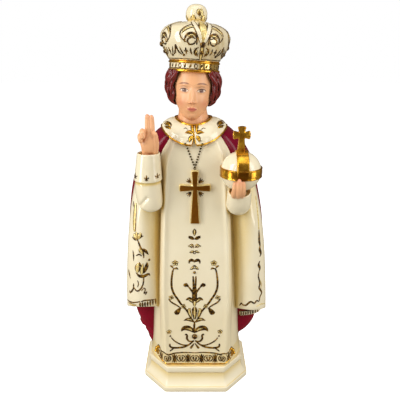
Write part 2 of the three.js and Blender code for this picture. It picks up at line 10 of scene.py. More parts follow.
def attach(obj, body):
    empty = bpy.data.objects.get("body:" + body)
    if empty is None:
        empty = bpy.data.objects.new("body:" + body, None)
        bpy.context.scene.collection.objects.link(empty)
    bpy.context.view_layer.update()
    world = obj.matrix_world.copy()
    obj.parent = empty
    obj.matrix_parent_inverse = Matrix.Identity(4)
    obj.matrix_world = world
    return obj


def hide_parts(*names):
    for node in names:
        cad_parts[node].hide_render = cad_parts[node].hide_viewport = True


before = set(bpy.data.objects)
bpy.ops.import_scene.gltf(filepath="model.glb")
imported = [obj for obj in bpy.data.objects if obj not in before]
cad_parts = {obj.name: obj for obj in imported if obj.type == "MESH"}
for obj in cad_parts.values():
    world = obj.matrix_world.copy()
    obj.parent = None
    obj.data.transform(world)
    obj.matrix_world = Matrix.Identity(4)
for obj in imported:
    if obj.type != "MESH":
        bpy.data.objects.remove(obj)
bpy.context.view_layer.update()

# The camera stands close in front of the figure and a little above its shoulders, and looks down on it.
# It was worked out from the plinth's edges, for a square picture.
picture_side = 400
focal_pixels = 384
sensor_width = 36
camera_height = 260.6
camera_distance = 291.9
camera_dip = math.radians(19.24)
principal_pixel = 195.8
MM = 0.001

camera_data = bpy.data.cameras.new("camera")
camera_data.sensor_width = sensor_width
camera_data.lens = sensor_width * focal_pixels / picture_side
camera_data.shift_x = (picture_side / 2 - principal_pixel) / picture_side
camera_data.clip_start = 0.01
camera = bpy.data.objects.new("camera", camera_data)
camera.location = (0, -camera_distance * MM, camera_height * MM)
camera.rotation_euler = (math.pi / 2 - camera_dip, 0, 0)
bpy.context.collection.objects.link(camera)
bpy.context.scene.camera = camera
bpy.context.scene.view_settings.view_transform = "Standard"


# The studio: a white table top that runs out of sight, two tall soft boxes beside the figure, two narrow
# strips in front that draw lines of light on the glaze, and a wide box overhead. The room is white to the eye
# and dimmer in reflections, as a tent of cloth is.
def linear(hex_colour):
    """An sRGB hex colour as the linear values that a shader takes."""
    channels = [int(hex_colour[i:i + 2], 16) / 255 for i in (0, 2, 4)]
    return tuple(c / 12.92 if c <= 0.04045 else ((c + 0.055) / 1.055) ** 2.4 for c in channels) + (1.0,)


def in_use(sockets, key):
    """The socket with a name or number, out of those that the node's settings leave in use."""
    return sockets[key] if isinstance(key, int) else next(s for s in sockets if s.name == key and s.enabled)


def add_node(tree, kind, inputs=None, **settings):
    """Adds a node with its own settings. An input takes a value, a node, or a node and its output's name."""
    node = tree.nodes.new(kind)
    for name, value in settings.items():
        setattr(node, name, value)
    for key, value in (inputs or {}).items():
        source = value if isinstance(value, tuple) else (value, 0)
        if isinstance(source[0], bpy.types.Node):
            outputs = [s for s in source[0].outputs if s.enabled]
            tree.links.new(in_use(outputs, source[1]), in_use(node.inputs, key))
        else:
            in_use(node.inputs, key).default_value = value
    return node


def new_material(name):
    """A material with an empty node tree, and that tree."""
    material = bpy.data.materials.new(name)
    material.use_nodes = True
    material.node_tree.nodes.clear()
    return material, material.node_tree


table_glare = 0.74
table_grain = 9.0


def white_table_top():
    """Sprayed white board, matt. It looks over-exposed, as in a picture of goods, with faint shadows."""
    material, tree = new_material("white_table_board")
    rays = add_node(tree, "ShaderNodeLightPath")
    glare = add_node(tree, "ShaderNodeMath", {
        0: (rays, "Is Camera Ray"), 1: table_glare,
    }, operation="MULTIPLY")
    grain = add_node(tree, "ShaderNodeTexNoise", {"Scale": table_grain, "Detail": 2.0})
    tone = add_node(tree, "ShaderNodeMix", {
        "Factor": (grain, "Fac"), "A": linear("F7F8FA"), "B": linear("FFFFFF"),
    }, data_type="RGBA")
    bounced = add_node(tree, "ShaderNodeMix", {
        "Factor": (rays, "Is Diffuse Ray"), "A": (tone, "Result"), "B": linear("94928A"),
    }, data_type="RGBA")
    mirrored = add_node(tree, "ShaderNodeMix", {
        "Factor": (rays, "Is Glossy Ray"), "A": (bounced, "Result"), "B": linear("8C7A5E"),
    }, data_type="RGBA")
    shader = add_node(tree, "ShaderNodeBsdfPrincipled", {
        "Base Color": (mirrored, "Result"), "Roughness": 0.7,
        "Emission Color": (1, 1, 1, 1), "Emission Strength": glare,
    })
    add_node(tree, "ShaderNodeOutputMaterial", {"Surface": (shader, "BSDF")})
    return material


table_reach = 6000
table_form = bmesh.new()
bmesh.ops.create_grid(table_form, x_segments=1, y_segments=1, size=table_reach * MM)
table_mesh = bpy.data.meshes.new("table_top")
table_form.to_mesh(table_mesh)
table_form.free()
table_mesh.materials.append(white_table_top())
table_top = bpy.data.objects.new("table_top", table_mesh)
bpy.context.collection.objects.link(table_top)


def soft_box(name, place, aim, width, height, watts):
    """A rectangular studio light at a place in millimetres, turned to its aim."""
    light = bpy.data.lights.new(name, "AREA")
    light.shape = "RECTANGLE"
    light.size = width * MM
    light.size_y = height * MM
    light.energy = watts
    lamp = bpy.data.objects.new(name, light)
    lamp.location = Vector(place) * MM
    lamp.rotation_euler = (Vector(aim) - Vector(place)).to_track_quat("-Z", "Y").to_euler()
    bpy.context.collection.objects.link(lamp)


figure_middle = (0, 0, 160)
soft_box("left_soft_box", (-430, -240, 310), figure_middle, 170, 600, 2.2)
soft_box("right_soft_box", (440, -220, 310), figure_middle, 200, 600, 1.55)
soft_box("top_soft_box", (0, -210, 900), (0, 0, 200), 900, 560, 2.15)
soft_box("left_strip", (-330, -440, 330), figure_middle, 45, 420, 0.4)
soft_box("right_strip", (330, -440, 330), figure_middle, 45, 420, 0.25)

room = bpy.data.worlds.new("white_room")
room.use_nodes = True
room_tree = room.node_tree
room_tree.nodes.clear()
rays = add_node(room_tree, "ShaderNodeLightPath")
seen_white = 1.0
lit_white = 0.36
mirrored_white = 0.16
for_surfaces = add_node(room_tree, "ShaderNodeMapRange", {
    "Value": (rays, "Is Glossy Ray"), "To Min": lit_white, "To Max": mirrored_white,
})
brightness = add_node(room_tree, "ShaderNodeMapRange", {
    "Value": (rays, "Is Camera Ray"), "To Min": (for_surfaces, "Result"), "To Max": seen_white,
})
room_tone = add_node(room_tree, "ShaderNodeMix", {
    "Factor": (rays, "Is Glossy Ray"), "A": (1, 1, 1, 1), "B": linear("E0B595"),
}, data_type="RGBA")
backdrop = add_node(room_tree, "ShaderNodeBackground", {
    "Color": (room_tone, "Result"), "Strength": (brightness, "Result"),
})
add_node(room_tree, "ShaderNodeOutputWorld", {"Surface": (backdrop, "Background")})
bpy.context.scene.world = room


# The plinth: an oblong with cut corners, cast with the figure in cream-glazed earthenware. It has a foot with
# upright sides, a hollow moulding and an upright tier, and the glaze has rounded every edge.
plinth = {
    "half_width": 45.3, "half_depth": 38.85, "height": 21.5, "corner_cut": 19.4, "foot": 4.9,
    "tier": 5.3, "tier_inset": 5.0, "nosing": 0.9, "bevel": 0.8,
}


def skin(around, rings, place):
    """A closed form: a grid rolled to a tube by place(turn, rise), in millimetres, with both ends filled."""
    form = bmesh.new()
    bmesh.ops.create_grid(form, x_segments=around, y_segments=rings, size=0.5)
    for corner in form.verts:
        corner.co = place(math.tau * (corner.co.x + 0.5), corner.co.y + 0.5)
    bmesh.ops.remove_doubles(form, verts=form.verts, dist=1e-4)
    bmesh.ops.holes_fill(form, edges=[edge for edge in form.edges if edge.is_boundary], sides=0)
    bmesh.ops.recalc_face_normals(form, faces=form.faces)
    return form


pieces = {}


def finished(form, name, material, crease=60):
    """Makes a piece of a form in millimetres. It stands for the casting, rides on it and takes a slot."""
    bmesh.ops.scale(form, vec=(MM, MM, MM), verts=form.verts)
    mesh = bpy.data.meshes.new(name)
    form.to_mesh(mesh)
    form.free()
    mesh.shade_smooth()
    mesh.set_sharp_from_angle(angle=math.radians(crease))
    mesh.materials.append(material)
    piece = bpy.data.objects.new(name, mesh)
    bpy.context.collection.objects.link(piece)
    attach(piece, "root")
    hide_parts("statue")
    pieces[name] = piece
    return piece


def ripple(tree, size, depth):
    """The faint waviness of a fired glaze, as a bump whose pattern size and depth are in millimetres."""
    place = add_node(tree, "ShaderNodeTexCoord")
    wave = add_node(tree, "ShaderNodeTexNoise", {
        "Vector": (place, "Object"), "Scale": 1 / (size * MM), "Detail": 3.0, "Roughness": 0.45,
    })
    return add_node(tree, "ShaderNodeBump", {
        "Height": (wave, "Fac"), "Strength": 1.0, "Distance": depth * MM,
    })


def coated(material, tree, colour, wave_size, wave_depth, **finish):
    """Ends a material: its colour and finish on the shader, with a ripple whose sizes are in millimetres."""
    shader = add_node(tree, "ShaderNodeBsdfPrincipled", {
        "Base Color": (colour, "Result"), "Normal": ripple(tree, wave_size, wave_depth), **finish,
    })
    add_node(tree, "ShaderNodeOutputMaterial", {"Surface": (shader, "BSDF")})
    return material


def cream_glaze():
    """Cream lead-free glaze on earthenware: a warm white body colour under a thick clear gloss, which runs a
    little. It turns tan where the casting closes it in: partly tan stain sprayed into the hollows before the
    last firing, partly painted shade."""
    material, tree = new_material("cream_earthenware_glaze")
    place = add_node(tree, "ShaderNodeTexCoord")
    clouds = add_node(tree, "ShaderNodeTexNoise", {
        "Vector": (place, "Object"), "Scale": 1 / (24 * MM), "Detail": 2.0,
    })
    body = add_node(tree, "ShaderNodeMix", {
        "Factor": (clouds, "Fac"), "A": linear("E8DAB6"), "B": linear("F0E5C9"),
    }, data_type="RGBA")
    # The tan in the hollows: partly sprayed stain, partly painted shade, by how closely the casting closes
    # each point in.
    stain_and_shade = add_node(tree, "ShaderNodeAttribute", attribute_name="stain_and_painted_shade")
    spray = add_node(tree, "ShaderNodeTexNoise", {
        "Vector": (place, "Object"), "Scale": 1 / (1.6 * MM), "Detail": 4.0, "Roughness": 0.7,
    })
    speckled = add_node(tree, "ShaderNodeMath", {
        0: (stain_and_shade, "Fac"),
        1: add_node(tree, "ShaderNodeMapRange", {
            "Value": (spray, "Fac"), "From Min": 0.25, "From Max": 0.75, "To Min": 0.86, "To Max": 1.12,
        }),
    }, operation="MULTIPLY", use_clamp=True)
    warm = add_node(tree, "ShaderNodeMix", {
        "Factor": add_node(tree, "ShaderNodeMapRange", {
            "Value": (speckled, "Value"), "From Min": 0.0, "From Max": 0.5,
        }),
        "A": (body, "Result"), "B": linear("E3C882"),
    }, data_type="RGBA")
    stained_and_shaded = add_node(tree, "ShaderNodeMix", {
        "Factor": add_node(tree, "ShaderNodeMapRange", {
            "Value": (speckled, "Value"), "From Min": 0.4, "From Max": 1.0,
        }),
        "A": (warm, "Result"), "B": linear("D0AD5C"),
    }, data_type="RGBA")
    # A gold tint, with a metal shine, on the crown's front right side only.
    wash = add_node(tree, "ShaderNodeAttribute", attribute_name="gold_tint")
    tinted = add_node(tree, "ShaderNodeMix", {
        "Factor": (wash, "Fac"), "A": (stained_and_shaded, "Result"), "B": linear("E9BE4C"),
    }, data_type="RGBA")
    return coated(material, tree, tinted, 5.0, 0.05, Metallic=(wash, "Fac"), Roughness=0.09, IOR=1.58)


cream = cream_glaze()


def plinth_outline(inset):
    """The eight corners of the plinth at an inset, from the front right corner on round by the right side."""
    wide = plinth["half_width"] - inset
    deep = plinth["half_depth"] - inset
    cut = plinth["corner_cut"] - inset * (2 - math.sqrt(2))
    return [(wide - cut, -deep), (wide, cut - deep), (wide, deep - cut), (wide - cut, deep),
            (cut - wide, deep), (-wide, deep - cut), (-wide, cut - deep), (cut - wide, -deep)]


side_steps = 16


def plinth_levels():
    """Height and inset of each course of the plinth, from the foot up."""
    tier_foot = plinth["height"] - plinth["tier"]
    levels = [(0, 0), (plinth["foot"], 0)]
    courses = 12
    for i in range(1, courses + 1):
        quarter = math.pi / 2 * i / courses
        height = plinth["foot"] + (tier_foot - plinth["foot"]) * (1 - math.cos(quarter))
        levels.append((height, (plinth["tier_inset"] + plinth["nosing"]) * math.sin(quarter)))
    levels += [(tier_foot, plinth["tier_inset"]), (plinth["height"], plinth["tier_inset"])]
    return levels + [(plinth["height"], plinth["tier_inset"] + ledge) for ledge in (1.2, 2.4, 4, 8, 16)]


def plinth_form():
    """The plinth's courses, with its corner edges and its level edges rounded by the glaze."""
    levels = plinth_levels()

    def place(turn, rise):
        height, inset = levels[round(rise * (len(levels) - 1))]
        corners = [Vector(corner) for corner in plinth_outline(inset)]
        side, along = divmod(round(turn / math.tau * 8 * side_steps), side_steps)
        at = corners[side % 8].lerp(corners[(side + 1) % 8], along / side_steps)
        return Vector((at.x, at.y, height))

    form = skin(8 * side_steps, len(levels) - 1, place)
    sharp = [edge for edge in form.edges if edge.calc_face_angle(0) > math.radians(30)]
    bmesh.ops.bevel(form, geom=sharp, offset=plinth["bevel"], offset_type="OFFSET", affect="EDGES",
                    segments=3, profile=0.5, material=-1)
    return form


finished(plinth_form(), "plinth", cream, crease=40)


# The gown: a child's straight gown with a flat front between two round pleats, cast in one with the plinth
# and glazed cream. A valley runs down outside each pleat, where the tan stain and the painted shade are
# thickest.
pleat_reach = 1.9
hem_ledge = 2.4
seat_depth = 1
plinth_top = {
    "half_width": plinth["half_width"] - plinth["tier_inset"],
    "half_depth": plinth["half_depth"] - plinth["tier_inset"],
    "cut": plinth["corner_cut"] - plinth["tier_inset"] * (2 - math.sqrt(2)),
}


def rows_of(names, *rows):
    """Rows of sizes by their names, from the lowest to the highest. The first size is the height."""
    return [dict(zip(names.split(), row)) for row in rows]


gown_rows = rows_of(
    "at panel front pleat valley side back",
    (plinth["height"] - seat_depth, plinth_top["half_width"] - plinth_top["cut"] + pleat_reach,
     plinth_top["half_depth"] - hem_ledge, 0.4, 0, plinth_top["half_width"] - hem_ledge,
     plinth_top["half_depth"] - hem_ledge),
    (36, 26.3, 31.0, 0.7, 1.2, 36.2, 30),
    (86, 27.0, 29.8, 1.0, 7, 34, 28),
    (120, 26.0, 28.4, 1.1, 8.5, 33, 27),
    (156, 24.3, 27.2, 1.1, 8, 32, 26),
    (182, 22.5, 26.6, 0.7, 5, 31, 24),
    (200, 20.0, 26.0, 0, 1.5, 29, 21),
    (211, 15.0, 23.0, -0.3, 0, 24, 16),
    (219, 10.0, 17.0, -0.4, 0, 15, 9),
    (223, 6.0, 11, -0.4, 0, 8, 5),
)


def between(rows, at, name):
    """A size read between its rows, along a smooth curve through them."""
    i = 0
    while i < len(rows) - 2 and at > rows[i + 1]["at"]:
        i += 1
    low, high = rows[i], rows[i + 1]
    span = high["at"] - low["at"]
    t = min(max((at - low["at"]) / span, 0), 1)

    def slope(j):
        before, after = rows[max(j - 1, 0)], rows[min(j + 1, len(rows) - 1)]
        return (after[name] - before[name]) / (after["at"] - before["at"])

    curve = 2 * t ** 3 - 3 * t ** 2
    return (low[name] * (1 + curve) - high[name] * curve
            + span * slope(i) * (t ** 3 - 2 * t ** 2 + t) + span * slope(i + 1) * (t ** 3 - t ** 2))


def sizes_at(rows, at):
    """Every size of the rows at one height, in the order in which the first row names them."""
    return [between(rows, at, name) for name in rows[0] if name != "at"]


def cubic(before, start, end, after, t):
    """A point between start and end, on the smooth curve that heeds the points before and after them too."""
    a = (end - before) * 0.5
    b = (after - start) * 0.5
    return start + a * t + (3 * (end - start) - 2 * a - b) * t ** 2 + (2 * (start - end) + a + b) * t ** 3


def round_plan(points, share):
    """A point on the closed smooth curve through the points, at a share of the way round."""
    count = len(points)
    at = share * count
    i = math.floor(at)
    return cubic(points[(i - 1) % count], points[i % count], points[(i + 1) % count], points[(i + 2) % count],
                 at - i)


def mirrored(half):
    """A plan whose right half is given from the front to the back, with its left half added."""
    return half + [Vector((-p.x, p.y, 0)) for p in reversed(half[1:-1])]


@functools.lru_cache(maxsize=None)
def gown_plan(z):
    panel, front, pleat, valley, side, back = sizes_at(gown_rows, z)
    return mirrored([Vector(p + (0,)) for p in [
        (0, -front), (0.5 * panel, -front), (0.8 * panel, -front), (0.95 * panel, -front - pleat),
        (panel + 1.8 - 0.05 * valley, -front + 2.2 + 0.3 * valley), (panel + 3.2, -front + valley + 3.4),
        (side, -0.45 * front), (1.03 * side, 0), (0.8 * side, 0.75 * back), (0.4 * side, 0.97 * back),
        (0, back),
    ]])


def climb(rows, rise):
    """The height at a share of the way from the lowest row to the highest."""
    return rows[0]["at"] + (rows[-1]["at"] - rows[0]["at"]) * rise


def gown_point(turn, rise):
    z = climb(gown_rows, rise)
    point = round_plan(gown_plan(z), turn / math.tau)
    return Vector((point.x, point.y, z))


finished(skin(200, 110, gown_point), "gown", cream)


# The cape: a long cape over both shoulders, which falls behind to the plinth in deep folds. It is part of the
# casting, glazed crimson, and darker in its folds: partly glaze that pools there, partly painted shade.
cape_ledge = 0.5
cape_rows = rows_of(
    "at left right front back",
    (plinth["height"] - seat_depth, plinth_top["half_width"] - cape_ledge,
     plinth_top["half_width"] - cape_ledge, 9, plinth_top["half_depth"] - cape_ledge),
    (27, 43.0, 39.2, 9, 34),
    (33, 44.4, 40.5, 9, 34.5),
    (38, 46.2, 46.6, 9, 35),
    (45, 49.4, 51.4, 9, 35.4),
    (54, 52.6, 54.0, 8, 35.6),
    (74, 55.8, 57.6, 6, 35.6),
    (104, 57.0, 57.6, 6, 35),
    (128, 55.9, 56.2, 6, 34),
    (152, 53.6, 53.2, 8, 32.4),
    (174, 50.0, 48.4, 12, 30),
    (194, 43.6, 43.2, 18, 27),
    (206, 37.2, 36.4, 19.4, 23.4),
    (213, 31.2, 30.0, 18, 19),
    (218, 25.0, 24.0, 14.6, 14),
    (221, 18, 17.4, 10.5, 9.5),
    (223, 9, 9, 6, 5),
)
cape_folds = {"count": 9, "foot": 2.3, "neck": 0.25, "drift": 0.9, "begins": 0.24, "full": 0.34}
cape_tucks = [{"at": 43, "half": 1.5, "proud": 1.9}, {"at": 39.6, "half": 1.3, "proud": -1.2},
              {"at": 35.6, "half": 1.4, "proud": 0.8}]
tucked_from = (0.66, 0.74)
tucked_to = (0.94, 0.84)
tuck_climb = 26


def ease(start, end, value):
    """Goes smoothly from 0 to 1 as a value goes from start to end."""
    t = min(max((value - start) / (end - start), 0), 1)
    return t * t * (3 - 2 * t)


def mix(low, high, share):
    """A number at a share of the way from low to high."""
    return low + (high - low) * share


def bell(value, half):
    """A smooth swelling of height 1 round a value of 0."""
    return math.exp(-((value / half) ** 2))


@functools.lru_cache(maxsize=None)
def cape_plan(z):
    left, right, front, back = sizes_at(cape_rows, z)

    def half(width):
        return [(0, -front), (0.42 * width, -front), (0.76 * width, -0.86 * front),
                (0.95 * width, -0.34 * front), (width, 4), (0.93 * width, 0.42 * back),
                (0.76 * width, 0.72 * back), (0.52 * width, 0.91 * back), (0.26 * width, 0.99 * back),
                (0, back)]

    right_half = [Vector((x, y, 0)) for x, y in half(right)]
    left_half = [Vector((-x, y, 0)) for x, y in reversed(half(left)[1:-1])]
    return right_half + left_half, right, back


def cape_point(turn, rise):
    z = climb(cape_rows, rise)
    plan, right, back = cape_plan(z)
    share = turn / math.tau
    point = round_plan(plan, share)
    folded = ease(cape_folds["begins"], cape_folds["full"], min(share, 1 - share))
    height = ease(0, 1, rise)
    depth = mix(cape_folds["foot"], cape_folds["neck"], height) * folded
    wave = depth * math.cos(2 * math.tau * cape_folds["count"] * (share - 0.5) + cape_folds["drift"] * height)
    outward = Vector((point.x / right, point.y / back, 0)).normalized()
    left_front = ease(*tucked_to, share) * ease(*tucked_from, share)
    for tuck in cape_tucks:
        climbing = z - tuck["at"] + tuck_climb * (share - 0.8)
        wave += left_front * tuck["proud"] * bell(climbing, tuck["half"])
    point = point + outward * wave
    return Vector((point.x, point.y, z))


def crimson_glaze():
    """Crimson glaze over a white ground: deep red, turning from 80 mm up to the shoulders to a more even,
    purplish crimson, and a full gloss.
    """
    material, tree = new_material("crimson_earthenware_glaze")
    place = add_node(tree, "ShaderNodeTexCoord")
    clouds = add_node(tree, "ShaderNodeTexNoise", {
        "Vector": (place, "Object"), "Scale": 1 / (12 * MM), "Detail": 3.0,
    })
    height = add_node(tree, "ShaderNodeSeparateXYZ", {"Vector": (place, "Object")})
    deep = add_node(tree, "ShaderNodeMix", {
        "Factor": (clouds, "Fac"), "A": linear("6A0212"), "B": linear("90042A"),
    }, data_type="RGBA")
    body = add_node(tree, "ShaderNodeMix", {
        "Factor": (add_node(tree, "ShaderNodeMapRange", {
            "Value": (height, "Z"), "From Min": 80 * MM, "From Max": 205 * MM,
        }), "Result"),
        "A": (deep, "Result"), "B": linear("720A24"),
    }, data_type="RGBA")
    # Darker in the folds and hollows: partly glaze that pools there, partly painted shade.
    stain_and_shade = add_node(tree, "ShaderNodeAttribute", attribute_name="stain_and_painted_shade")
    pooled_and_shaded = add_node(tree, "ShaderNodeMix", {
        "Factor": (stain_and_shade, "Fac"), "A": (body, "Result"), "B": linear("4A0208"),
    }, data_type="RGBA")
    return coated(material, tree, pooled_and_shaded, 5.0, 0.05, Roughness=0.18, IOR=1.3)


crimson = crimson_glaze()
finished(skin(240, 150, cape_point), "cape", crimson)


# The hanging sleeves: two wide sleeves that hang open below the arms, one wall thick at the hem, which is cut
# lower behind. They are cast in one with the gown and glazed cream outside.
hem_nose = 26
sleeve_wall = 2.4
mouth_depth = 9
sleeve_sizes = "at outer inner nose"
sleeve_forms = {
    "left": {"side": -1, "hem_front": 76.5, "hem_fall": 0.6, "rows": rows_of(
        sleeve_sizes,
        (71, 58.4, 30.0, 27),
        (100, 56.9, 30.2, 27),
        (128, 54.5, 30.2, 26.6),
        (150, 51.8, 29, 26),
        (168, 48.6, 27.5, 25),
        (184, 44.4, 25.5, 22.5),
        (196, 39, 23, 18),
    )},
    "right": {"side": 1, "hem_front": 73.5, "hem_fall": 0.46, "rows": rows_of(
        sleeve_sizes,
        (71, 59.5, 34.5, 27),
        (100, 57.5, 33.5, 27),
        (128, 54.8, 32.0, 26.6),
        (150, 51.5, 30, 26),
        (168, 47.6, 27.5, 25),
        (184, 43.4, 25.5, 22.5),
        (196, 38.4, 23, 18),
    )},
}


@functools.lru_cache(maxsize=None)
def sleeve_plan(hand, flat):
    outer, inner, nose = sizes_at(sleeve_forms[hand]["rows"], flat)
    width = outer - inner
    plan = [Vector(p + (0,)) for p in [
        (inner + 1.0, -nose + 7), (inner + 0.28 * width, -nose + 1.6), (inner + 0.55 * width, -nose),
        (inner + 0.82 * width, -nose + 4.2), (outer - 0.8, -nose + 10), (outer, -nose + 18),
        (outer - 2.5, -nose + 28), (inner + 0.4 * width, -nose + 33), (inner - 4, -nose + 26),
        (inner - 3, -nose + 14),
    ]]
    return plan, Vector((inner + 0.5 * width, -nose + 15, 0))


def sleeve_point(hand, turn, rise, inset):
    form = sleeve_forms[hand]
    across = turn if form["side"] > 0 else math.tau - turn
    flat = mix(form["hem_front"], form["rows"][-1]["at"], rise)
    plan, middle = sleeve_plan(hand, round(flat, 6))
    point = round_plan(plan, across / math.tau)
    away = point - middle
    point = middle + away * (1 - inset / away.length)
    fall = form["hem_fall"] * (point.y + hem_nose) * (1 - rise) ** 2
    return Vector((form["side"] * point.x, point.y, flat - fall))


def hollow_end(around, wall, rings, point):
    """A form up its outside, over its rim and back inside, by numbers of rings. point() takes the turn, the
    share of the way to the rim, how far in and past the rim it lies, and the share of the way back inside."""
    outside, edge, inside = rings

    def place(turn, rise):
        ring = round(rise * sum(rings))
        roll = math.pi * min(max(ring - outside, 0) / edge, 1)
        back = max(ring - outside - edge, 0) / inside
        return point(turn, min(ring / outside, 1), wall / 2 * (1 - math.cos(roll)),
                     wall / 2 * math.sin(roll), back)

    return skin(around, sum(rings), place)


hem_roundness = 0.5


def sleeve_form(hand):
    """Down the outside to the hem, round its edge and up inside to the mouth's end."""
    form = sleeve_forms[hand]
    mouth = mouth_depth / (form["rows"][-1]["at"] - form["hem_front"])

    def point(turn, share, inset, lift, back):
        at = sleeve_point(hand, turn, 1 - share + mouth * back, inset)
        at.z -= hem_roundness * lift
        return at

    return hollow_end(110, sleeve_wall, (56, 6, 8), point)


for hand in ("left", "right"):
    finished(sleeve_form(hand), hand + "_sleeve", cream)


# The right sleeve's back fall: the sleeve is cut lower behind, so its crimson lining shows under the front
# hem. It is cast in one with the sleeve.
back_fall = {
    "inner": 36, "outer": 56, "front": 7.5, "back": -4, "slant": 2, "inner_foot": 54.5, "outer_foot": 60,
    "top": 84,
}


def squared(value, power):
    """A sine or cosine whose curve is flattened towards a square's."""
    return math.copysign(abs(value) ** power, value)


def back_fall_share(turn):
    """How far across the back fall a turn lies, from its inner edge."""
    return 0.5 + 0.5 * squared(math.sin(turn), 0.6)


def back_fall_point(turn, rise):
    share = back_fall_share(turn)
    forward = 0.5 + 0.5 * squared(math.cos(turn), 0.7)
    foot = mix(back_fall["inner_foot"], back_fall["outer_foot"], share)
    y = -mix(back_fall["back"], back_fall["front"], forward) - back_fall["slant"] * share
    return Vector((mix(back_fall["inner"], back_fall["outer"], share), y, mix(foot, back_fall["top"], rise)))


finished(skin(48, 12, back_fall_point), "right_sleeve_lining", crimson)


# The close sleeves: the gown's own sleeves on the forearms. The blessing arm's hangs from an open cuff over a
# full bag of cloth, and the other arm's cuff stands open under the orb. Both are cast with the figure.
def through(points, share):
    """A point on the open smooth curve through the points, which carry their sizes after their places."""
    at = min(max(share, 0), 1) * (len(points) - 1)
    i = min(math.floor(at), len(points) - 2)
    before = points[i - 1] if i > 0 else 2 * points[0] - points[1]
    after = points[i + 2] if i + 2 < len(points) else 2 * points[-1] - points[-2]
    return cubic(before, points[i], points[i + 1], after, at - i)


def closing(from_end, length):
    """The share of its girth that a limb has near its end, which closes over a length."""
    return max(math.sqrt(1 - (1 - min(from_end / length, 1)) ** 2), 0.05)


def limb_point(path, level, turn, girth, inset=0, lift=0):
    """A point of a limb at a level of its path, by a share of its girth, set in and lifted along the path."""
    x, y, z, wide, deep = through(path, level)
    step = through(path, level + 0.01) - through(path, level - 0.01)
    ahead = Vector(step[:3]).normalized()
    sideways = (Vector((1, 0, 0)) - ahead * ahead.x).normalized()
    forward = sideways.cross(ahead)
    return (Vector((x, y, z)) + sideways * (math.sin(turn) * (wide - inset) * girth)
            + forward * (math.cos(turn) * (deep - inset) * girth) + ahead * lift)


def limb(around, rings, path, rounding=0.12):
    """A rounded limb along a smooth path of (x, y, z, half width, half depth). Its ends close over a share of
    its length."""
    path = [Vector(point) for point in path]

    def place(turn, rise):
        level = 0.5 * ease(0, 1, rise) + 0.5 * rise
        return limb_point(path, level, turn, closing(min(level, 1 - level), rounding))

    return skin(around, rings, place)


def joined(forms):
    """Several forms in one."""
    whole = bmesh.new()
    for form in forms:
        part = bpy.data.meshes.new("part")
        form.to_mesh(part)
        form.free()
        whole.from_mesh(part)
        bpy.data.meshes.remove(part)
    return whole


def melted(forms, voxel, passes, strength=0.5):
    """Forms melted into one skin, as clay is: remeshed at a voxel in millimetres and smoothed."""
    mesh = bpy.data.meshes.new("clay")
    whole = joined(forms)
    whole.to_mesh(mesh)
    whole.free()
    clay = bpy.data.objects.new("clay", mesh)
    bpy.context.collection.objects.link(clay)
    remesh = clay.modifiers.new("remesh", "REMESH")
    remesh.mode = "VOXEL"
    remesh.voxel_size = voxel
    smooth = clay.modifiers.new("smooth", "SMOOTH")
    smooth.iterations = passes
    smooth.factor = strength
    graph = bpy.context.evaluated_depsgraph_get()
    smoothed = bpy.data.meshes.new_from_object(clay.evaluated_get(graph))
    form = bmesh.new()
    form.from_mesh(smoothed)
    for used in (clay.data, smoothed):
        bpy.data.meshes.remove(used)
    bmesh.ops.recalc_face_normals(form, faces=form.faces)
    return form


blessing_forearm = [
    (-32.6, -24.8, 158.6, 5.6, 7.8), (-33.3, -25.2, 165, 9.0, 10.2), (-34.2, -25.8, 175, 9.7, 10.3),
    (-34.2, -26.6, 183, 9.2, 9.8), (-33.7, -27.4, 192, 8.2, 8.8), (-33.0, -28.4, 203, 7.1, 7.7),
]
blessing_upper_arm = [
    (-26, 0, 204, 7, 7.5), (-31.5, -5, 196, 8.8, 9.4), (-34.4, -12, 185, 10, 11), (-34, -16, 168, 9, 12),
]
cuff = {"line": 183.6, "overlap": 1.0, "wall": 1.4, "depth": 0.07, "crease": 1.1}
crease_line = [Vector((-34.6, 172.4, 0)), Vector((-40.4, 165.6, 0))]


def blessing_cuff_point(turn, share, inset, lift, back):
    """The cuff laps over the cloth below it, which is creased on its front where the arm bends."""
    level = share - cuff["depth"] * back
    x, y, z, wide, deep = through([Vector(point) for point in blessing_forearm], level)
    lap = cuff["overlap"] * ease(cuff["line"] - 0.4, cuff["line"] + 0.4, z)
    girth = closing(level, 0.16)
    spot = Vector((x + math.sin(turn) * wide * girth, z, 0))
    start, end = crease_line
    along = min(max((spot - start).dot(end - start) / (end - start).length_squared, 0), 1)
    from_line = (spot - start.lerp(end, along)).length
    if math.cos(turn) > 0 and not inset:
        lap -= cuff["crease"] * bell(from_line, 1.1)
    return Vector((x + math.sin(turn) * (wide + lap - inset) * girth,
                   y - math.cos(turn) * (deep + lap - inset) * girth, z + lift))


finished(melted([limb(40, 30, blessing_upper_arm)], 0.7, 4), "right_upper_arm", cream)
blessing_cuff = hollow_end(72, cuff["wall"], (70, 6, 10), blessing_cuff_point)
finished(blessing_cuff, "blessing_cuff", cream)

orb_forearm = [
    (33, -14, 161, 8.2, 7.3), (31.4, -26, 164.4, 8.8, 8.0), (30.3, -36, 170, 8.7, 8.3),
    (30.1, -40.5, 179, 8.2, 7.1),
]
orb_upper_arm = [
    (25, 1, 203, 7, 7.5), (31, -3.5, 195, 8.8, 9.4), (34.6, -10, 183, 10, 11), (34, -14, 164, 9, 12),
]
orb_cuff_depth = 0.06


def orb_cuff_point(turn, share, inset, lift, back):
    level = share - orb_cuff_depth * back
    return limb_point([Vector(point) for point in orb_forearm], level, turn, closing(level, 0.1), inset, lift)


finished(melted([limb(40, 30, orb_upper_arm)], 0.7, 4), "left_upper_arm", cream)
finished(hollow_end(64, cuff["wall"], (50, 6, 10), orb_cuff_point), "orb_cuff", cream)


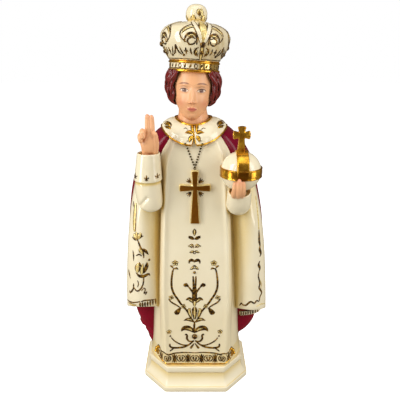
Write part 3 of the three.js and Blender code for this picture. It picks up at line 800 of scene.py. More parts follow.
# The hands: cast with the arms and painted in flesh colour. The right hand blesses, with two fingers raised,
# two folded on the palm and the thumb beside them. The left holds the orb on its upturned fingers.
def flesh_paint():
    """Flesh enamel over the glaze: a soft satin, warmer where it was rubbed with red, painted by brush, and a
    darker brown where other parts close it in, as painted shade.
    """
    material, tree = new_material("flesh_enamel")
    place = add_node(tree, "ShaderNodeTexCoord")
    painted = add_node(tree, "ShaderNodeAttribute", attribute_name="paint")
    brush = add_node(tree, "ShaderNodeTexNoise", {
        "Vector": (place, "Object"), "Scale": 1 / (5 * MM), "Detail": 3.0,
    })
    tone = add_node(tree, "ShaderNodeMix", {
        "Factor": (add_node(tree, "ShaderNodeMapRange", {"Value": (brush, "Fac"), "To Max": 0.16}), "Result"),
        "A": (painted, "Color"), "B": linear("E89A78"),
    }, data_type="RGBA")
    # Painted shade: a darker brown where other parts close the flesh in.
    stain_and_shade = add_node(tree, "ShaderNodeAttribute", attribute_name="stain_and_painted_shade")
    shaded = add_node(tree, "ShaderNodeMix", {
        "Factor": (add_node(tree, "ShaderNodeMapRange", {
            "Value": (stain_and_shade, "Fac"), "From Min": 0.1, "From Max": 0.9, "To Max": 0.75,
        }), "Result"),
        "A": (tone, "Result"), "B": linear("B2662E"),
    }, data_type="RGBA")
    return coated(material, tree, shaded, 3.0, 0.02, Roughness=0.34, IOR=1.48)


flesh = flesh_paint()
flesh_tone = Vector(linear("F0BA84"))
flesh_red = Vector(linear("E08A6A"))
blush = {"skin": 0.2, "neck": 0.25, "finger_tips": 0.45}
blessing_tips = (226, 233)
orb_tips = (186, 192)


def painted(piece, colour_at):
    """Gives every point of a piece its brushed colour. colour_at takes the point in millimetres."""
    layer = piece.data.color_attributes.new("paint", "FLOAT_COLOR", "POINT")
    for corner, spot in zip(piece.data.vertices, layer.data):
        spot.color = colour_at(corner.co / MM)
    return piece


def ball(centre, radii, around=32):
    """An egg or ball by its centre and its three half sizes."""
    form = bmesh.new()
    bmesh.ops.create_uvsphere(form, u_segments=around, v_segments=around // 2, radius=1)
    placed = Matrix.Translation(centre) @ Matrix.Diagonal((*radii, 1))
    bmesh.ops.transform(form, matrix=placed, verts=form.verts)
    return form


blessing_wrist = [(-33.0, -28.4, 194, 4.5, 3.8), (-32.9, -29.6, 204, 4.6, 3.7), (-32.4, -31.2, 211, 5.6, 3.6)]
blessing_palm = ((-32.0, -32.2, 212.4), (6.1, 4.0, 9.0))
blessing_fingers = [
    [(-29.4, -32.8, 215, 1.9, 2.1), (-29.1, -33.8, 220, 1.75, 1.85), (-29.2, -33.6, 225.4, 1.7, 1.75),
     (-29.4, -33.8, 230.2, 1.4, 1.4)],
    [(-32.2, -33.0, 215, 1.9, 2.1), (-32.2, -34.1, 220.4, 1.8, 1.9), (-32.2, -33.9, 226, 1.7, 1.75),
     (-32.0, -34.1, 230.8, 1.4, 1.4)],
    [(-34.8, -32.6, 214, 1.9, 1.9), (-35.4, -35.4, 219.4, 1.85, 1.9), (-35.4, -38.3, 219.0, 1.8, 1.8),
     (-34.8, -38.6, 214.8, 1.6, 1.6)],
    [(-36.6, -31.8, 211, 1.7, 1.8), (-37.3, -34.2, 216.2, 1.7, 1.75), (-37.2, -36.9, 215.6, 1.7, 1.7),
     (-36.6, -37.2, 211.8, 1.5, 1.5)],
    [(-28.8, -30.6, 203, 2.4, 2.6), (-27.4, -32.4, 208.6, 2.3, 2.4), (-27.0, -34.4, 214.4, 1.9, 2.0),
     (-27.8, -35.9, 219.4, 1.6, 1.6)],
]
blessing_parts = [limb(28, 20, blessing_wrist), ball(*blessing_palm)]
blessing_parts += [limb(20, 26, finger) for finger in blessing_fingers]
blessing_hand = finished(melted(blessing_parts, 0.32, 5), "blessing_hand", flesh, crease=80)

orb_heel = [(29.4, -36, 168, 4.6, 4.4), (28.8, -41.5, 176, 4.8, 4.0), (28.4, -46, 181, 4.4, 3.0)]
orb_fingers = [
    [(26.2, -45, 177, 1.9, 2.0), (25.2, -50.6, 180, 1.8, 1.9), (25.3, -53.3, 184.6, 1.7, 1.6),
     (25.5, -53.4, 189.8, 1.35, 1.3)],
    [(28.6, -46, 177, 2.0, 2.0), (28.1, -51.8, 180.6, 1.9, 1.9), (28.1, -54.3, 185.8, 1.8, 1.6),
     (28.1, -54.4, 192.0, 1.45, 1.3)],
    [(31.0, -45, 177, 1.8, 2.0), (31.2, -50.8, 180.4, 1.7, 1.9), (31.0, -53.4, 184.8, 1.65, 1.6),
     (30.7, -53.8, 190.2, 1.35, 1.3)],
]
orb_parts = [limb(28, 20, orb_heel)] + [limb(20, 26, finger) for finger in orb_fingers]
orb_hand = finished(melted(orb_parts, 0.32, 5), "orb_hand", flesh, crease=80)


def hand_colour(point):
    """Flesh, redder at the finger tips."""
    tip = ease(*(blessing_tips if point.x < 0 else orb_tips), point.z)
    return flesh_tone.lerp(flesh_red, blush["skin"] + blush["finger_tips"] * tip)


for hand in (blessing_hand, orb_hand):
    painted(hand, hand_colour)


# The orb: a cream ball with a gilded band round its middle and a gilded strap over its top, and on it a
# gilded cross with flared arms. All of it is cast with the hand and gilded after the glaze is fired.
orb = {"x": 30.6, "y": -39.5, "z": 193.3, "radius": 13.7, "band": 3.3, "raised": 0.7, "strap_half": 4.0}
orb_centre = Vector((orb["x"], orb["y"], orb["z"]))


def brushed_film(name, grain, detail, thick, thin, spread, wave, painted_shade=None, **finish):
    """A film laid on by brush, in streaks whose grain is in millimetres: one colour where it is thick and one
    where it is thin. The argument after wave, if given, names an attribute that holds painted shade and the
    dark colour to which it turns the film."""
    material, tree = new_material(name)
    place = add_node(tree, "ShaderNodeTexCoord")
    brush = add_node(tree, "ShaderNodeTexNoise", {
        "Vector": (place, "Object"), "Scale": 1 / (grain * MM), "Detail": detail, "Roughness": 0.6,
    })
    streaks = add_node(tree, "ShaderNodeMapRange", {
        "Value": (brush, "Fac"), "From Min": spread[0], "From Max": spread[1],
    })
    film = add_node(tree, "ShaderNodeMix", {
        "Factor": (streaks, "Result"), "A": linear(thick), "B": linear(thin),
    }, data_type="RGBA")
    # Painted shade: the film darkens where the named attribute says.
    if painted_shade:
        shade_mask = add_node(tree, "ShaderNodeAttribute", attribute_name=painted_shade[0])
        film = add_node(tree, "ShaderNodeMix", {
            "Factor": (shade_mask, "Fac"), "A": (film, "Result"), "B": linear(painted_shade[1]),
        }, data_type="RGBA")
    return coated(material, tree, film, *wave, **finish)


def bright_gold():
    """Liquid bright gold, brushed on and fired at low heat: a mirror film of real gold that follows the
    glaze, thinner and browner where the brush ran dry. On the orb's band and strap it turns dark brown in the
    middle, a painted dark reflection, and at their sides, painted shade."""
    return brushed_film("fired_bright_gold", 4, 4.0, "FFCB44", "AC6812", (0.35, 0.7), (3.0, 0.06),
                        ("stain_and_painted_shade", "844C08"), Metallic=0.86, Roughness=0.2)


gold = bright_gold()
finished(ball(orb_centre, (orb["radius"],) * 3, 64), "orb", cream, crease=40)


def ring_of(profile, centre, around=96):
    """A ring spun from its section, which is a closed list of (radius, height)."""
    form = bmesh.new()
    corners = [form.verts.new((radius, 0, height)) for radius, height in profile]
    edges = [form.edges.new((a, b)) for a, b in zip(corners, corners[1:] + corners[:1])]
    bmesh.ops.spin(form, geom=corners + edges, cent=(0, 0, 0), axis=(0, 0, 1), angle=math.tau, steps=around,
                   use_merge=True)
    bmesh.ops.remove_doubles(form, verts=form.verts, dist=1e-4)
    bmesh.ops.translate(form, vec=centre, verts=form.verts)
    bmesh.ops.recalc_face_normals(form, faces=form.faces)
    return form


def band_profile(half_height):
    """The section of a flat band round the orb. Its rounded edges stand a little proud of its middle."""
    inner, outer, edge = orb["radius"] - 1.2, orb["radius"] + orb["raised"], 0.3
    rim = [(inner, half_height), (outer - edge, half_height), (outer, half_height - edge),
           (outer, half_height - 2 * edge), (outer - edge / 2, half_height - 2.6 * edge),
           (outer - edge / 2, half_height - 4 * edge)]
    return [(radius, -height) for radius, height in rim] + [(outer, 0)] + rim[::-1]


finished(ring_of(band_profile(orb["band"]), orb_centre), "orb_band", gold, crease=50)

strap = ring_of(band_profile(orb["strap_half"]), (0, 0, 0))
bmesh.ops.rotate(strap, cent=(0, 0, 0), matrix=Matrix.Rotation(math.pi / 2, 3, "Y"), verts=strap.verts)
bmesh.ops.bisect_plane(strap, geom=strap.verts[:] + strap.edges[:] + strap.faces[:], plane_co=(0, 0, 0),
                       plane_no=(0, 0, -1), clear_outer=True)
bmesh.ops.holes_fill(strap, edges=[edge for edge in strap.edges if edge.is_boundary], sides=0)
bmesh.ops.translate(strap, vec=orb_centre, verts=strap.verts)
bmesh.ops.recalc_face_normals(strap, faces=strap.faces)
finished(strap, "orb_strap", gold, crease=50)


def flared_cross(sizes, crossing, thick, bevel):
    """A flat cross with flared ends, extruded forward and bevelled. Its sizes run from the crossing."""
    waist, flare, arm = sizes["waist"], sizes["flare"], sizes["arm"]
    foot_flare = sizes["foot_share"] * flare
    outline = [
        (waist, waist), (flare, sizes["top"]), (0, sizes["top"] + sizes["peak"]), (-flare, sizes["top"]),
        (-waist, waist), (-arm, flare), (-arm - sizes["peak"], 0), (-arm, -flare), (-waist, -waist),
        (-foot_flare, -sizes["foot"]), (foot_flare, -sizes["foot"]), (waist, -waist), (arm, -flare),
        (arm + sizes["peak"], 0), (arm, flare),
    ]
    form = bmesh.new()
    corners = [form.verts.new((x, 0, z)) for x, z in outline]
    face = form.faces.new(corners)
    pushed = bmesh.ops.extrude_face_region(form, geom=[face])["geom"]
    front = [corner for corner in pushed if isinstance(corner, bmesh.types.BMVert)]
    bmesh.ops.translate(form, vec=(0, -thick, 0), verts=front)
    bmesh.ops.recalc_face_normals(form, faces=form.faces)
    bmesh.ops.bevel(form, geom=form.edges[:], offset=bevel, offset_type="OFFSET", affect="EDGES",
                    segments=2, profile=0.5, material=-1)
    bmesh.ops.translate(form, vec=crossing, verts=form.verts)
    bmesh.ops.triangulate(form, faces=[f for f in form.faces if len(f.verts) > 4])
    return form


orb_cross = {"top": 5.4, "foot": 12, "arm": 5.4, "waist": 1.9, "flare": 3.0, "foot_share": 0.95, "peak": 0.6}
orb_crossing = (orb["x"] - 0.3, orb["y"] + 1.8, orb["z"] + 24.4)
finished(flared_cross(orb_cross, orb_crossing, 3, 0.85), "orb_cross", gold, crease=30)


# The collar: a flat collar in two halves that meet behind and part in a slit at the front. It is cast on,
# glazed cream, and its edges are gilded.
collar = {"slit_inside": 0.014, "slit_outside": 0.07, "thick": 1.7}
collar_edges = {
    "inner": {"x": -1.7, "y": -4.6, "z": 225.4, "wide": 13.0, "deep": 14.6, "front_drop": 4.2,
              "back_drop": 0.6, "back_pull": 2.5},
    "outer": {"x": -1.2, "y": -5.0, "z": 219.8, "wide": 24.0, "deep": 23.2, "front_drop": 11.3,
              "back_drop": 6.5, "back_pull": 2},
}


def collar_edge(round_neck, name):
    """A point of the collar's inner or outer edge, by its turn round the neck."""
    edge = collar_edges[name]
    front = max(math.cos(round_neck), 0)
    behind = max(-math.cos(round_neck), 0)
    return Vector((
        edge["x"] + edge["wide"] * math.sin(round_neck),
        edge["y"] - edge["deep"] * math.cos(round_neck) - edge["back_pull"] * behind,
        edge["z"] - edge["front_drop"] * front ** 1.5 - edge["back_drop"] * behind,
    ))


def collar_point(turn, rise):
    share = 0.5 - 0.5 * math.cos(turn)
    slit = mix(collar["slit_inside"], collar["slit_outside"], share ** 4)
    round_neck = mix(slit, math.tau - slit, rise)
    swell = min(1, 2.4 * math.sqrt(max(share * (1 - share), 0)))
    upward = Vector((math.sin(round_neck) * 0.45, -math.cos(round_neck) * 0.5 - 0.1, 0.8)).normalized()
    middle = collar_edge(round_neck, "inner").lerp(collar_edge(round_neck, "outer"), share)
    return middle + upward * (math.sin(turn) * collar["thick"] * swell)


finished(skin(40, 150, collar_point), "collar", cream)


def bead_line(points, girth, around=8):
    """A round gilded line through points in millimetres."""
    last = len(points) - 1

    def place(turn, rise):
        i = round(rise * last)
        ahead = (points[min(i + 1, last)] - points[max(i - 1, 0)]).normalized()
        sideways = ahead.cross(Vector((0.03, -1, 0.05))).normalized()
        out = sideways.cross(ahead)
        return points[i] + sideways * (math.sin(turn) * girth) + out * (math.cos(turn) * girth)

    return skin(around, last, place)


edge_steps = 120
edge_beads = {"inner": 0.95, "outer": 0.62, "slit": 0.26}
inner_edge = [collar_point(0, i / edge_steps) for i in range(edge_steps + 1)]
outer_edge = [collar_point(math.pi, i / edge_steps) for i in range(edge_steps + 1)]
slit_edges = [[collar_point(math.pi * i / 16, end) for i in range(17)] for end in (0, 1)]
edging = [bead_line(inner_edge, edge_beads["inner"]), bead_line(outer_edge, edge_beads["outer"])]
edging += [bead_line(edge, edge_beads["slit"]) for edge in slit_edges]
finished(joined(edging), "collar_edging", gold)


# The breast cross: a flat cross with flared ends on a bead chain round the neck. It is cast in low relief.
# Its field is a dull brown gold, a painted dark reflection of mirror gold, and its edges are a pale gold, a
# painted highlight.
def dull_gold_film(name, dull, lighter_tone):
    """A dull, dark gold film in random streaks, from a darker tone to a lighter one, with a satin metal
    shine.
    """
    return brushed_film(name, 3, 4.0, dull, lighter_tone, (0, 1), (2.0, 0.05), Metallic=0.75, Roughness=0.3)


def pale_petal_gold():
    """Pale gold lustre over the glaze, as thin as a wash: a warm yellow with a soft metal shine."""
    return brushed_film("pale_gold_lustre", 1.5, 3.0, "F4E09A", "CC9C3C", (0.45, 0.7), (1.5, 0.03),
                        Metallic=0.3, Roughness=0.24)


dark_reflection_gold = dull_gold_film("painted_dark_reflection_gold", "7A4408", "A8701C")
pale_gold = pale_petal_gold()
breast_cross = {
    "top": 12.8, "foot": 27.8, "arm": 11.2, "waist": 2.05, "flare": 2.8, "foot_share": 1.3, "peak": 0.4,
}
breast_crossing = (-0.6, -25.8, 177.6)
cross_form = flared_cross(breast_cross, breast_crossing, 3.2, 0.9)
# The cross's pale gold, left bare as a rim round the field, is a painted highlight on its edges.
finished(cross_form, "breast_cross", pale_gold, crease=30)
field_inset = 0.6
cross_field = {name: size - field_inset for name, size in breast_cross.items()}
cross_field.update(foot_share=1.36, peak=0.3)
field_place = (breast_crossing[0], breast_crossing[1] - 2.9, breast_crossing[2])
field_form = flared_cross(cross_field, field_place, 0.55, 0.15)
# The field's dull brown gold is a painted dark reflection of mirror gold.
finished(field_form, "breast_cross_field", dark_reflection_gold, crease=30)


# The bead chain that carries the breast cross: gilded beads in low relief, in a V from the collar's points,
# with a small ring at the cross. Its gold is a dark olive all over.
chain_bead = 0.74
chain_pitch = 2.0
chain_sunk = 0.25
chain_ends = [(-7.4, 209.6), (4.6, 209.4)]
chain_foot = (-0.7, 192.6)
chain_loop = {"radius": 0.75, "girth": 0.3}


def tree_of(piece):
    """A search tree of a piece's faces, in millimetres."""
    corners = [corner.co / MM for corner in piece.data.vertices]
    return BVHTree.FromPolygons(corners, [tuple(face.vertices) for face in piece.data.polygons])


before_figure = -80


class Front:
    """The front of some pieces, where a drawn point is its place across and its height in millimetres."""
    unit_length = 1

    def __init__(self, *names):
        self.trees = [tree_of(pieces[name]) for name in names]

    def find(self, x, z):
        """The first point met from the front, with its outward normal."""
        start = Vector((x, before_figure, z))
        hits = [tree.ray_cast(start, Vector((0, 1, 0))) for tree in self.trees]
        hits = sorted((hit for hit in hits if hit[0]), key=lambda hit: hit[3])
        return hits[0][:2] if hits else None


chain_front = Front("gown", "collar")
beads = []
for start in chain_ends:
    way = Vector(chain_foot) - Vector(start)
    count = round(way.length / chain_pitch)
    for i in range(count + 1):
        at = Vector(start) + way * (i / count)
        place, normal = chain_front.find(at.x, at.y)
        beads.append(ball(place + normal * chain_sunk, (chain_bead,) * 3, 10))
place, normal = chain_front.find(*chain_foot)
section = [(chain_loop["radius"] + chain_loop["girth"] * math.cos(a), chain_loop["girth"] * math.sin(a))
           for a in (0, 1.05, 2.09, 3.14, 4.19, 5.24)]
loop = ring_of(section, (0, 0, 0), 20)
bmesh.ops.rotate(loop, cent=(0, 0, 0), matrix=Matrix.Rotation(math.pi / 2, 3, "X"), verts=loop.verts)
bmesh.ops.translate(loop, vec=place + Vector((0, -1.2, -0.6)), verts=loop.verts)
beads.append(loop)
dark_olive_gold = dull_gold_film("dark_olive_gold_paint", "2A2410", "6E5A28")
finished(joined(beads), "bead_chain", dark_olive_gold, crease=80)


# The neck and head: cast with the body and painted in flesh enamel. The face is a plain ideal child's face of
# the workshop kind, with brows, lids, irises and lips put on by brush.
head = {"x": -3.2, "y": -4.5, "z": 222, "lean": math.radians(3)}
head_place = Matrix.Translation((head["x"], head["y"], head["z"])) @ Matrix.Rotation(head["lean"], 4, "Y")
head_drawn = head_place.inverted()
pole_gap = math.radians(1.5)


def round_form(around, rings, surface, denser_front=0.0, denser_middle=0.0, middle=0.5):
    """A closed round form about the head's axis. surface(turn, tilt) gives a point, tilted from below up."""
    def place(turn, rise):
        near = turn - denser_front * math.sin(turn)
        level = rise - denser_middle * (math.sin(math.tau * (rise - middle)) + math.sin(math.tau * middle))
        return head_place @ surface(near, (level - 0.5) * (math.pi - 2 * pole_gap))

    return skin(around, rings, place)


face = {"wide": 14.8, "deep": 17.6, "chin": 0.6, "crown": 48, "jaw_forward": 5.5}
eye = {"apart": 5.9, "half": 3.05, "z": 24.4, "upper": 1.5, "lower": 0.95, "iris": 1.5, "pupil": 0.66}
mouth = {"z": 10.3, "half": 3.6, "upper": 1.2, "lower": 1.5}
child_drop = 1.8


def grown_up(z):
    """The height in an adult's face of what sits lower in the child's: the eyes and brows."""
    return z + child_drop * ease(11, 21, z)


def lid_lines(x):
    """Heights of the upper and the lower lid's edge at a place across, and how far out in the eye it is."""
    across = (abs(x) - eye["apart"]) / eye["half"]
    open_share = max(1 - across ** 2, 0)
    outer_lift = 0.14 * across
    upper = eye["z"] + outer_lift + eye["upper"] * open_share ** 0.75
    lower = eye["z"] + outer_lift - eye["lower"] * open_share ** 0.9
    return upper, lower, across


def lip_lines(x):
    """Heights of the upper lip's top, of the line between the lips and of the lower lip's foot."""
    across = min(abs(x) / mouth["half"], 1)
    bow = 0.28 * bell(abs(x) - 1.2, 0.8) - 0.22 * bell(x, 0.55)
    parting = mouth["z"] + 0.25 * across ** 2 - 0.12 * bell(x, 1.0)
    top = parting + (mouth["upper"] + bow) * (1 - across ** 1.8)
    foot = parting - mouth["lower"] * (1 - across ** 2) ** 0.8
    return top, parting, foot, across


# How far each bump of the face stands out, its place across and half width, and its height and half height.
bumps = {
    "eye_hollow": (-1.25, 5.6, 3.6, 24.6, 3.0),
    "eyeball": (0.95, 5.9, 2.6, 24.2, 1.7),
    "brow_ridge": (0.4, 5.6, 4.2, 28.4, 1.5),
    "nose_wing": (1.0, 2.15, 0.85, 15.7, 1.05),
    "nostril": (-0.45, 1.15, 0.5, 14.5, 0.5),
    "groove_over_lips": (-0.22, 0, 0.6, 12.9, 1.1),
    "hollow_under_lips": (-0.35, 0, 3.0, 7.2, 0.9),
    "chin": (0.85, 0, 4.4, 4.4, 2.4),
    "cheek": (0.55, 8.2, 4.0, 15.6, 4.6),
}


def features(x, z):
    """How far the face stands out at a place, from its modelled features."""
    side = abs(x)
    out = sum(proud * bell(side - at_side, half_side) * bell(z - at_z, half_z)
              for proud, at_side, half_side, at_z, half_z in bumps.values())
    upper, lower, across = lid_lines(x)
    lids = 0.34 * bell(z - upper - 0.25, 0.4) - 0.24 * bell(z - upper - 1.25, 0.4)
    lids += 0.16 * bell(z - lower + 0.3, 0.35)
    bridge = ease(28.5, 16.8, z)
    nose = (0.6 + 2.2 * bridge) * bell(x, 1.35 + 0.75 * bridge) * ease(29, 24, z) * ease(14.0, 15.8, z)
    top, parting, foot, wide = lip_lines(x)
    lips = 0.62 * bell(z - (top + parting) / 2, 0.8) + 0.7 * bell(z - (foot + parting) / 2, 0.85)
    lips -= 0.5 * bell(z - parting, 0.28)
    corner = -0.22 * bell(side - mouth["half"] - 0.3, 0.7) * bell(z - parting, 0.7)
    return out + lids * bell(across, 0.95) + nose + lips * (1 - wide ** 3) + corner


def face_surface(turn, tilt):
    middle = (face["chin"] + face["crown"]) / 2
    half = (face["crown"] - face["chin"]) / 2
    high = math.sin(tilt)
    out = math.cos(tilt) ** 0.8
    below = ease(0, -1, high)
    narrowing = 1 - 0.12 * ease(0.1, -0.6, high) - 0.2 * ease(-0.35, -1, high)
    narrowing -= 0.05 * ease(0.4, 1, high)
    front = math.cos(turn)
    x = face["wide"] * narrowing * out * math.sin(turn)
    y = -face["deep"] * out * front * (1 - 0.22 * below) - face["jaw_forward"] * below
    z = middle + half * high
    if front > 0:
        y -= features(x, grown_up(z)) * ease(0, 0.25, front)
    return Vector((x, y, z))


white_of_eye = Vector(linear("EBD2B4"))
iris_brown = Vector(linear("532810"))
lash_brown = Vector(linear("3A1C10"))
brow_brown = Vector(linear("6E3E22"))
lip_rose = Vector(linear("C8645A"))


def face_colour(point):
    """The brushed colours of the head: flesh with a blush, and on its front the eyes, brows and lips, with
    painted shade in the hollows over the eyes, the lid creases, the nostrils and between the lips.
    """
    drawn = head_drawn @ point
    x, z = drawn.x, grown_up(drawn.z)
    colour = flesh_tone.lerp(flesh_red, blush["skin"])
    if drawn.y > -6:
        return colour
    side = abs(x)
    brow = 28.3 + 1.0 * (1 - ((side - 6.6) / 4.3) ** 2) - 0.08 * (side - 6.6)
    brow_half = 0.5 * min(ease(2.2, 4.2, side), ease(10.6, 7.4, side))
    layers = [
        (flesh_red, 0.55 * bell(side - 8.4, 3.4) * bell(z - 14.6, 3.4)),
        (flesh_red, 0.35 * bell(x, 2.4) * bell(z - 15.6, 1.4) + 0.25 * bell(x, 4) * bell(z - 3.6, 2)),
        # Painted shade in the hollows over the eyes.
        (brow_brown, 0.3 * bell(side - 5.9, 2.8) * bell(z - 26.6, 0.7)),
        (brow_brown, 0.85 * ease(brow_half + 0.16, brow_half - 0.12, abs(z - brow))),
        # Painted shade in the nostrils.
        (brow_brown, 0.55 * bell(side - 1.15, 0.45) * bell(z - 14.5, 0.32)),
    ]
    upper, lower, across = lid_lines(x)
    out = abs(across)
    if out < 1.2:
        inside = min(ease(-0.08, 0.1, upper - z), ease(-0.08, 0.1, z - lower)) * ease(1.02, 0.95, out)
        from_iris = math.hypot(side - eye["apart"], z - eye["z"] - 0.28)
        catch_light = math.hypot(x - math.copysign(eye["apart"], x) + 0.42, z - eye["z"] - 0.72)
        lash = 0.3 * ease(1.2, 0.9, out) * mix(0.6, 1.1, 0.5 + 0.5 * across)
        layers += [
            (white_of_eye, inside),
            (iris_brown, inside * ease(eye["iris"] + 0.08, eye["iris"] - 0.08, from_iris)),
            (lash_brown, inside * ease(eye["pupil"] + 0.08, eye["pupil"] - 0.08, from_iris)),
            # A painted highlight: a small white catch light on each iris.
            (white_of_eye, inside * ease(0.3, 0.14, catch_light)),
            (lash_brown, ease(lash + 0.1, lash - 0.06, abs(z - upper)) * ease(1.2, 1.0, out)),
            (brow_brown, 0.5 * ease(0.22, 0.06, abs(z - lower)) * ease(1.05, 0.8, out)),
            # Painted shade along the crease over each upper lid.
            (brow_brown, 0.5 * ease(0.24, 0.08, abs(z - upper - 1.15)) * ease(1.1, 0.7, out)),
        ]
    top, parting, foot, wide = lip_lines(x)
    if wide < 1 and z < 14:
        layers += [
            (lip_rose, 0.85 * min(ease(-0.12, 0.14, top - z), ease(-0.14, 0.2, z - foot))),
            # Painted shade along the line between the lips.
            (lash_brown, 0.5 * ease(0.24, 0.08, abs(z - parting)) * ease(1.0, 0.75, wide)),
        ]
    for tone, share in layers:
        colour = colour.lerp(tone, share)
    return colour


neck_path = [(-1.8, -2, 208, 12, 12), (-2.0, -4, 221, 12.2, 12.4), (-2.2, -4, 229, 10.4, 11.6),
             (-2.5, -4, 238, 10.0, 11.4), (-2.8, -4, 248, 10.4, 11.6)]
neck = finished(limb(72, 40, neck_path, 0.02), "neck", flesh, crease=80)
painted(neck, lambda point: flesh_tone.lerp(flesh_red, blush["neck"]))
head_form = round_form(260, 230, face_surface, 0.72, 0.075, 0.417)
painted(finished(head_form, "head", flesh, crease=80), face_colour)


# The hair: short waved locks, modelled in the casting and painted a glossy auburn, dark in the furrows as
# painted shade. At each side of the face hang four twisted locks.
def hair_paint():
    """Auburn enamel, glossy, in random streaks, and darker in the furrows between the locks by how closely
    the locks close them in: painted shade.
    """
    return brushed_film("auburn_enamel", 2.5, 4.0, "460A10", "8C2E2C", (0, 1), (2.0, 0.04),
                        ("furrow_shade", "200406"), Roughness=0.15, IOR=1.5)


hair = {"wide": 17.2, "front": 16.0, "rear": 19.2, "middle": 25, "up": 18, "down": 13.8, "back": 3}
locks = {"count": 9, "depth": 0.05, "curl": 0.03, "strands": 31, "strand_depth": 0.02}
side_locks = [
    [(11.6, -13.4, 36, 2.0, 2.0), (13.0, -12.4, 32, 2.3, 2.2), (15.2, -10.4, 27.6, 2.3, 2.2),
     (14.8, -10.0, 22.8, 2.0, 2.0), (13.6, -9.2, 18.4, 1.7, 1.8), (13.8, -7.4, 14.8, 0.9, 1.0)],
    [(13.6, -11.6, 36, 2.2, 2.2), (16.2, -9.6, 31.6, 2.5, 2.4), (17.6, -7.4, 27, 2.2, 2.2),
     (16.6, -6.8, 21.8, 2.2, 2.2), (15.2, -6.0, 17, 1.8, 1.9), (12.0, -6.2, 12.6, 0.9, 1.1)],
    [(15.6, -7.4, 36, 2.4, 2.4), (17.2, -4.8, 30.4, 2.6, 2.5), (18.0, -3.2, 24.6, 2.2, 2.3),
     (17.2, -2.2, 20.0, 2.3, 2.3), (15.0, -2.0, 15.2, 2.0, 1.9), (11.4, -3.4, 11.4, 1.0, 1.0)],
    [(15.8, -2.4, 35, 2.4, 2.4), (17.4, -0.4, 29, 2.5, 2.4), (17.6, 1.4, 23, 2.2, 2.2),
     (15.8, 2.2, 17, 2.2, 2.1), (12.4, 3.0, 12.4, 1.5, 1.5)],
]


def lock_height(turn, tilt):
    """How far the hair stands out of its plain round form, as a share of its width."""
    lock = locks["depth"] * math.sin(locks["count"] * turn + 2.2 * math.sin(3.2 * tilt))
    curl = locks["curl"] * math.sin(5 * tilt + 2 * math.cos(3 * turn))
    bend = 3.4 * math.sin(2.6 * tilt + 1.2 * math.sin(2 * turn))
    bend += 1.4 * math.sin(5 * tilt + 3 * math.cos(turn))
    strand = locks["strand_depth"] * math.sin(locks["strands"] * turn + bend)
    return (lock + curl + strand) * math.cos(tilt) * ease(0.97, 0.45, math.cos(turn))


def hair_surface(turn, tilt):
    high = math.sin(tilt)
    out = math.cos(tilt) ** (0.8 if high > 0 else 0.95)
    front = math.cos(turn)
    fullness = out * (1 + lock_height(turn, tilt))
    return Vector((
        hair["wide"] * fullness * math.sin(turn),
        hair["back"] - (hair["front"] if front > 0 else hair["rear"]) * fullness * front,
        hair["middle"] + (hair["up"] if high > 0 else hair["down"]) * high,
    ))


twist = {"strands": 3, "offset": 0.66, "girth": 0.5, "turn": 1.25}


def twisted_lock(path, side, start):
    """A lock of a few strands that wind round each other, as a path for each strand."""
    for strand in range(twist["strands"]):
        points = []
        for step, (x, y, z, wide, deep) in enumerate(path):
            turn = start + math.tau * strand / twist["strands"] + twist["turn"] * step
            points.append((
                side * (x + twist["offset"] * wide * math.cos(turn)),
                y + twist["offset"] * deep * math.sin(turn), z, twist["girth"] * wide, twist["girth"] * deep,
            ))
        yield points


hair_forms = [round_form(220, 110, hair_surface)]
for side in (1, -1):
    for i, path in enumerate(side_locks):
        for strand_path in twisted_lock(path, side, 2.0 * i + 0.7 * side):
            strand = limb(14, 30, strand_path, 0.1)
            bmesh.ops.transform(strand, matrix=head_place, verts=strand.verts)
            hair_forms.append(strand)
finished(melted(hair_forms, 0.3, 1), "hair", hair_paint(), crease=80)


# The crown: a band between two gilded beads, a full dome, four gilded hoops in pairs of ribbons and a knob.
# It is cast with the head and glazed cream, and only its relief is gilded.
crown = {"rim": 34.6, "deeper": 1.04, "hoops": 4, "turned": math.radians(12)}
crown_band = [(17.5, 0.6), (17.35, 1.6), (17.3, 3.4), (17.4, 5.4), (17.5, 6.6), (17.4, 7.4)]
dome_profile = [
    (17.4, 7.4), (18.6, 9.1), (20, 11.2), (21.5, 13.8), (22.6, 16.4), (23.5, 19.2), (23.8, 21.8),
    (23.5, 24.2), (22.4, 26.2), (20.6, 28), (18.2, 29.4), (15.2, 30.6), (11.8, 31.4), (8.6, 31.9),
    (5.9, 32.4),
]
knob_profile = [
    (5.9, 32.4), (6.3, 33.6), (6.9, 35), (7.25, 36.6), (7.2, 38.3), (6.7, 40), (5.7, 41.5), (4.2, 42.6),
    (2.3, 43.2), (0.4, 43.4),
]
crown_profile = [Vector(point + (0,)) for point in crown_band[:-1] + dome_profile[:-1] + knob_profile]


def on_crown(turn, share, proud=0.0):
    """A point on the crown by its turn and a share of the way up its profile."""
    radius, height, _ = through(crown_profile, share)
    radius += proud
    return head_place @ Vector((radius * math.sin(turn), -radius * crown["deeper"] * math.cos(turn),
                                crown["rim"] + height))


crown_piece = finished(skin(160, 150, on_crown), "crown", cream)


tinted_turns = (6, 14, 66, 84)
tint_strength = {"band": 0.7, "dome": 0.1, "streaks": 0.16}


def crown_gold_tint(point):
    """How much gold tint the cream takes at a point of the crown: only on its front right side, most on the
    band and in faint streaks on the dome.
    """
    drawn = head_drawn @ point
    turn = math.degrees(math.atan2(drawn.x, -drawn.y))
    height = drawn.z - crown["rim"]
    begins, full, fading, ends = tinted_turns
    beside = ease(begins, full, turn) * ease(ends, fading, turn)
    streak = 0.5 + 0.5 * math.sin(0.35 * turn + 0.8 * height)
    on_band = ease(7.6, 6.8, height)
    on_dome = ease(7, 9, height) * ease(29, 22, height) * ease(62, 48, turn)
    dome_tint = tint_strength["dome"] + tint_strength["streaks"] * streak
    return beside * (tint_strength["band"] * on_band + dome_tint * on_dome)


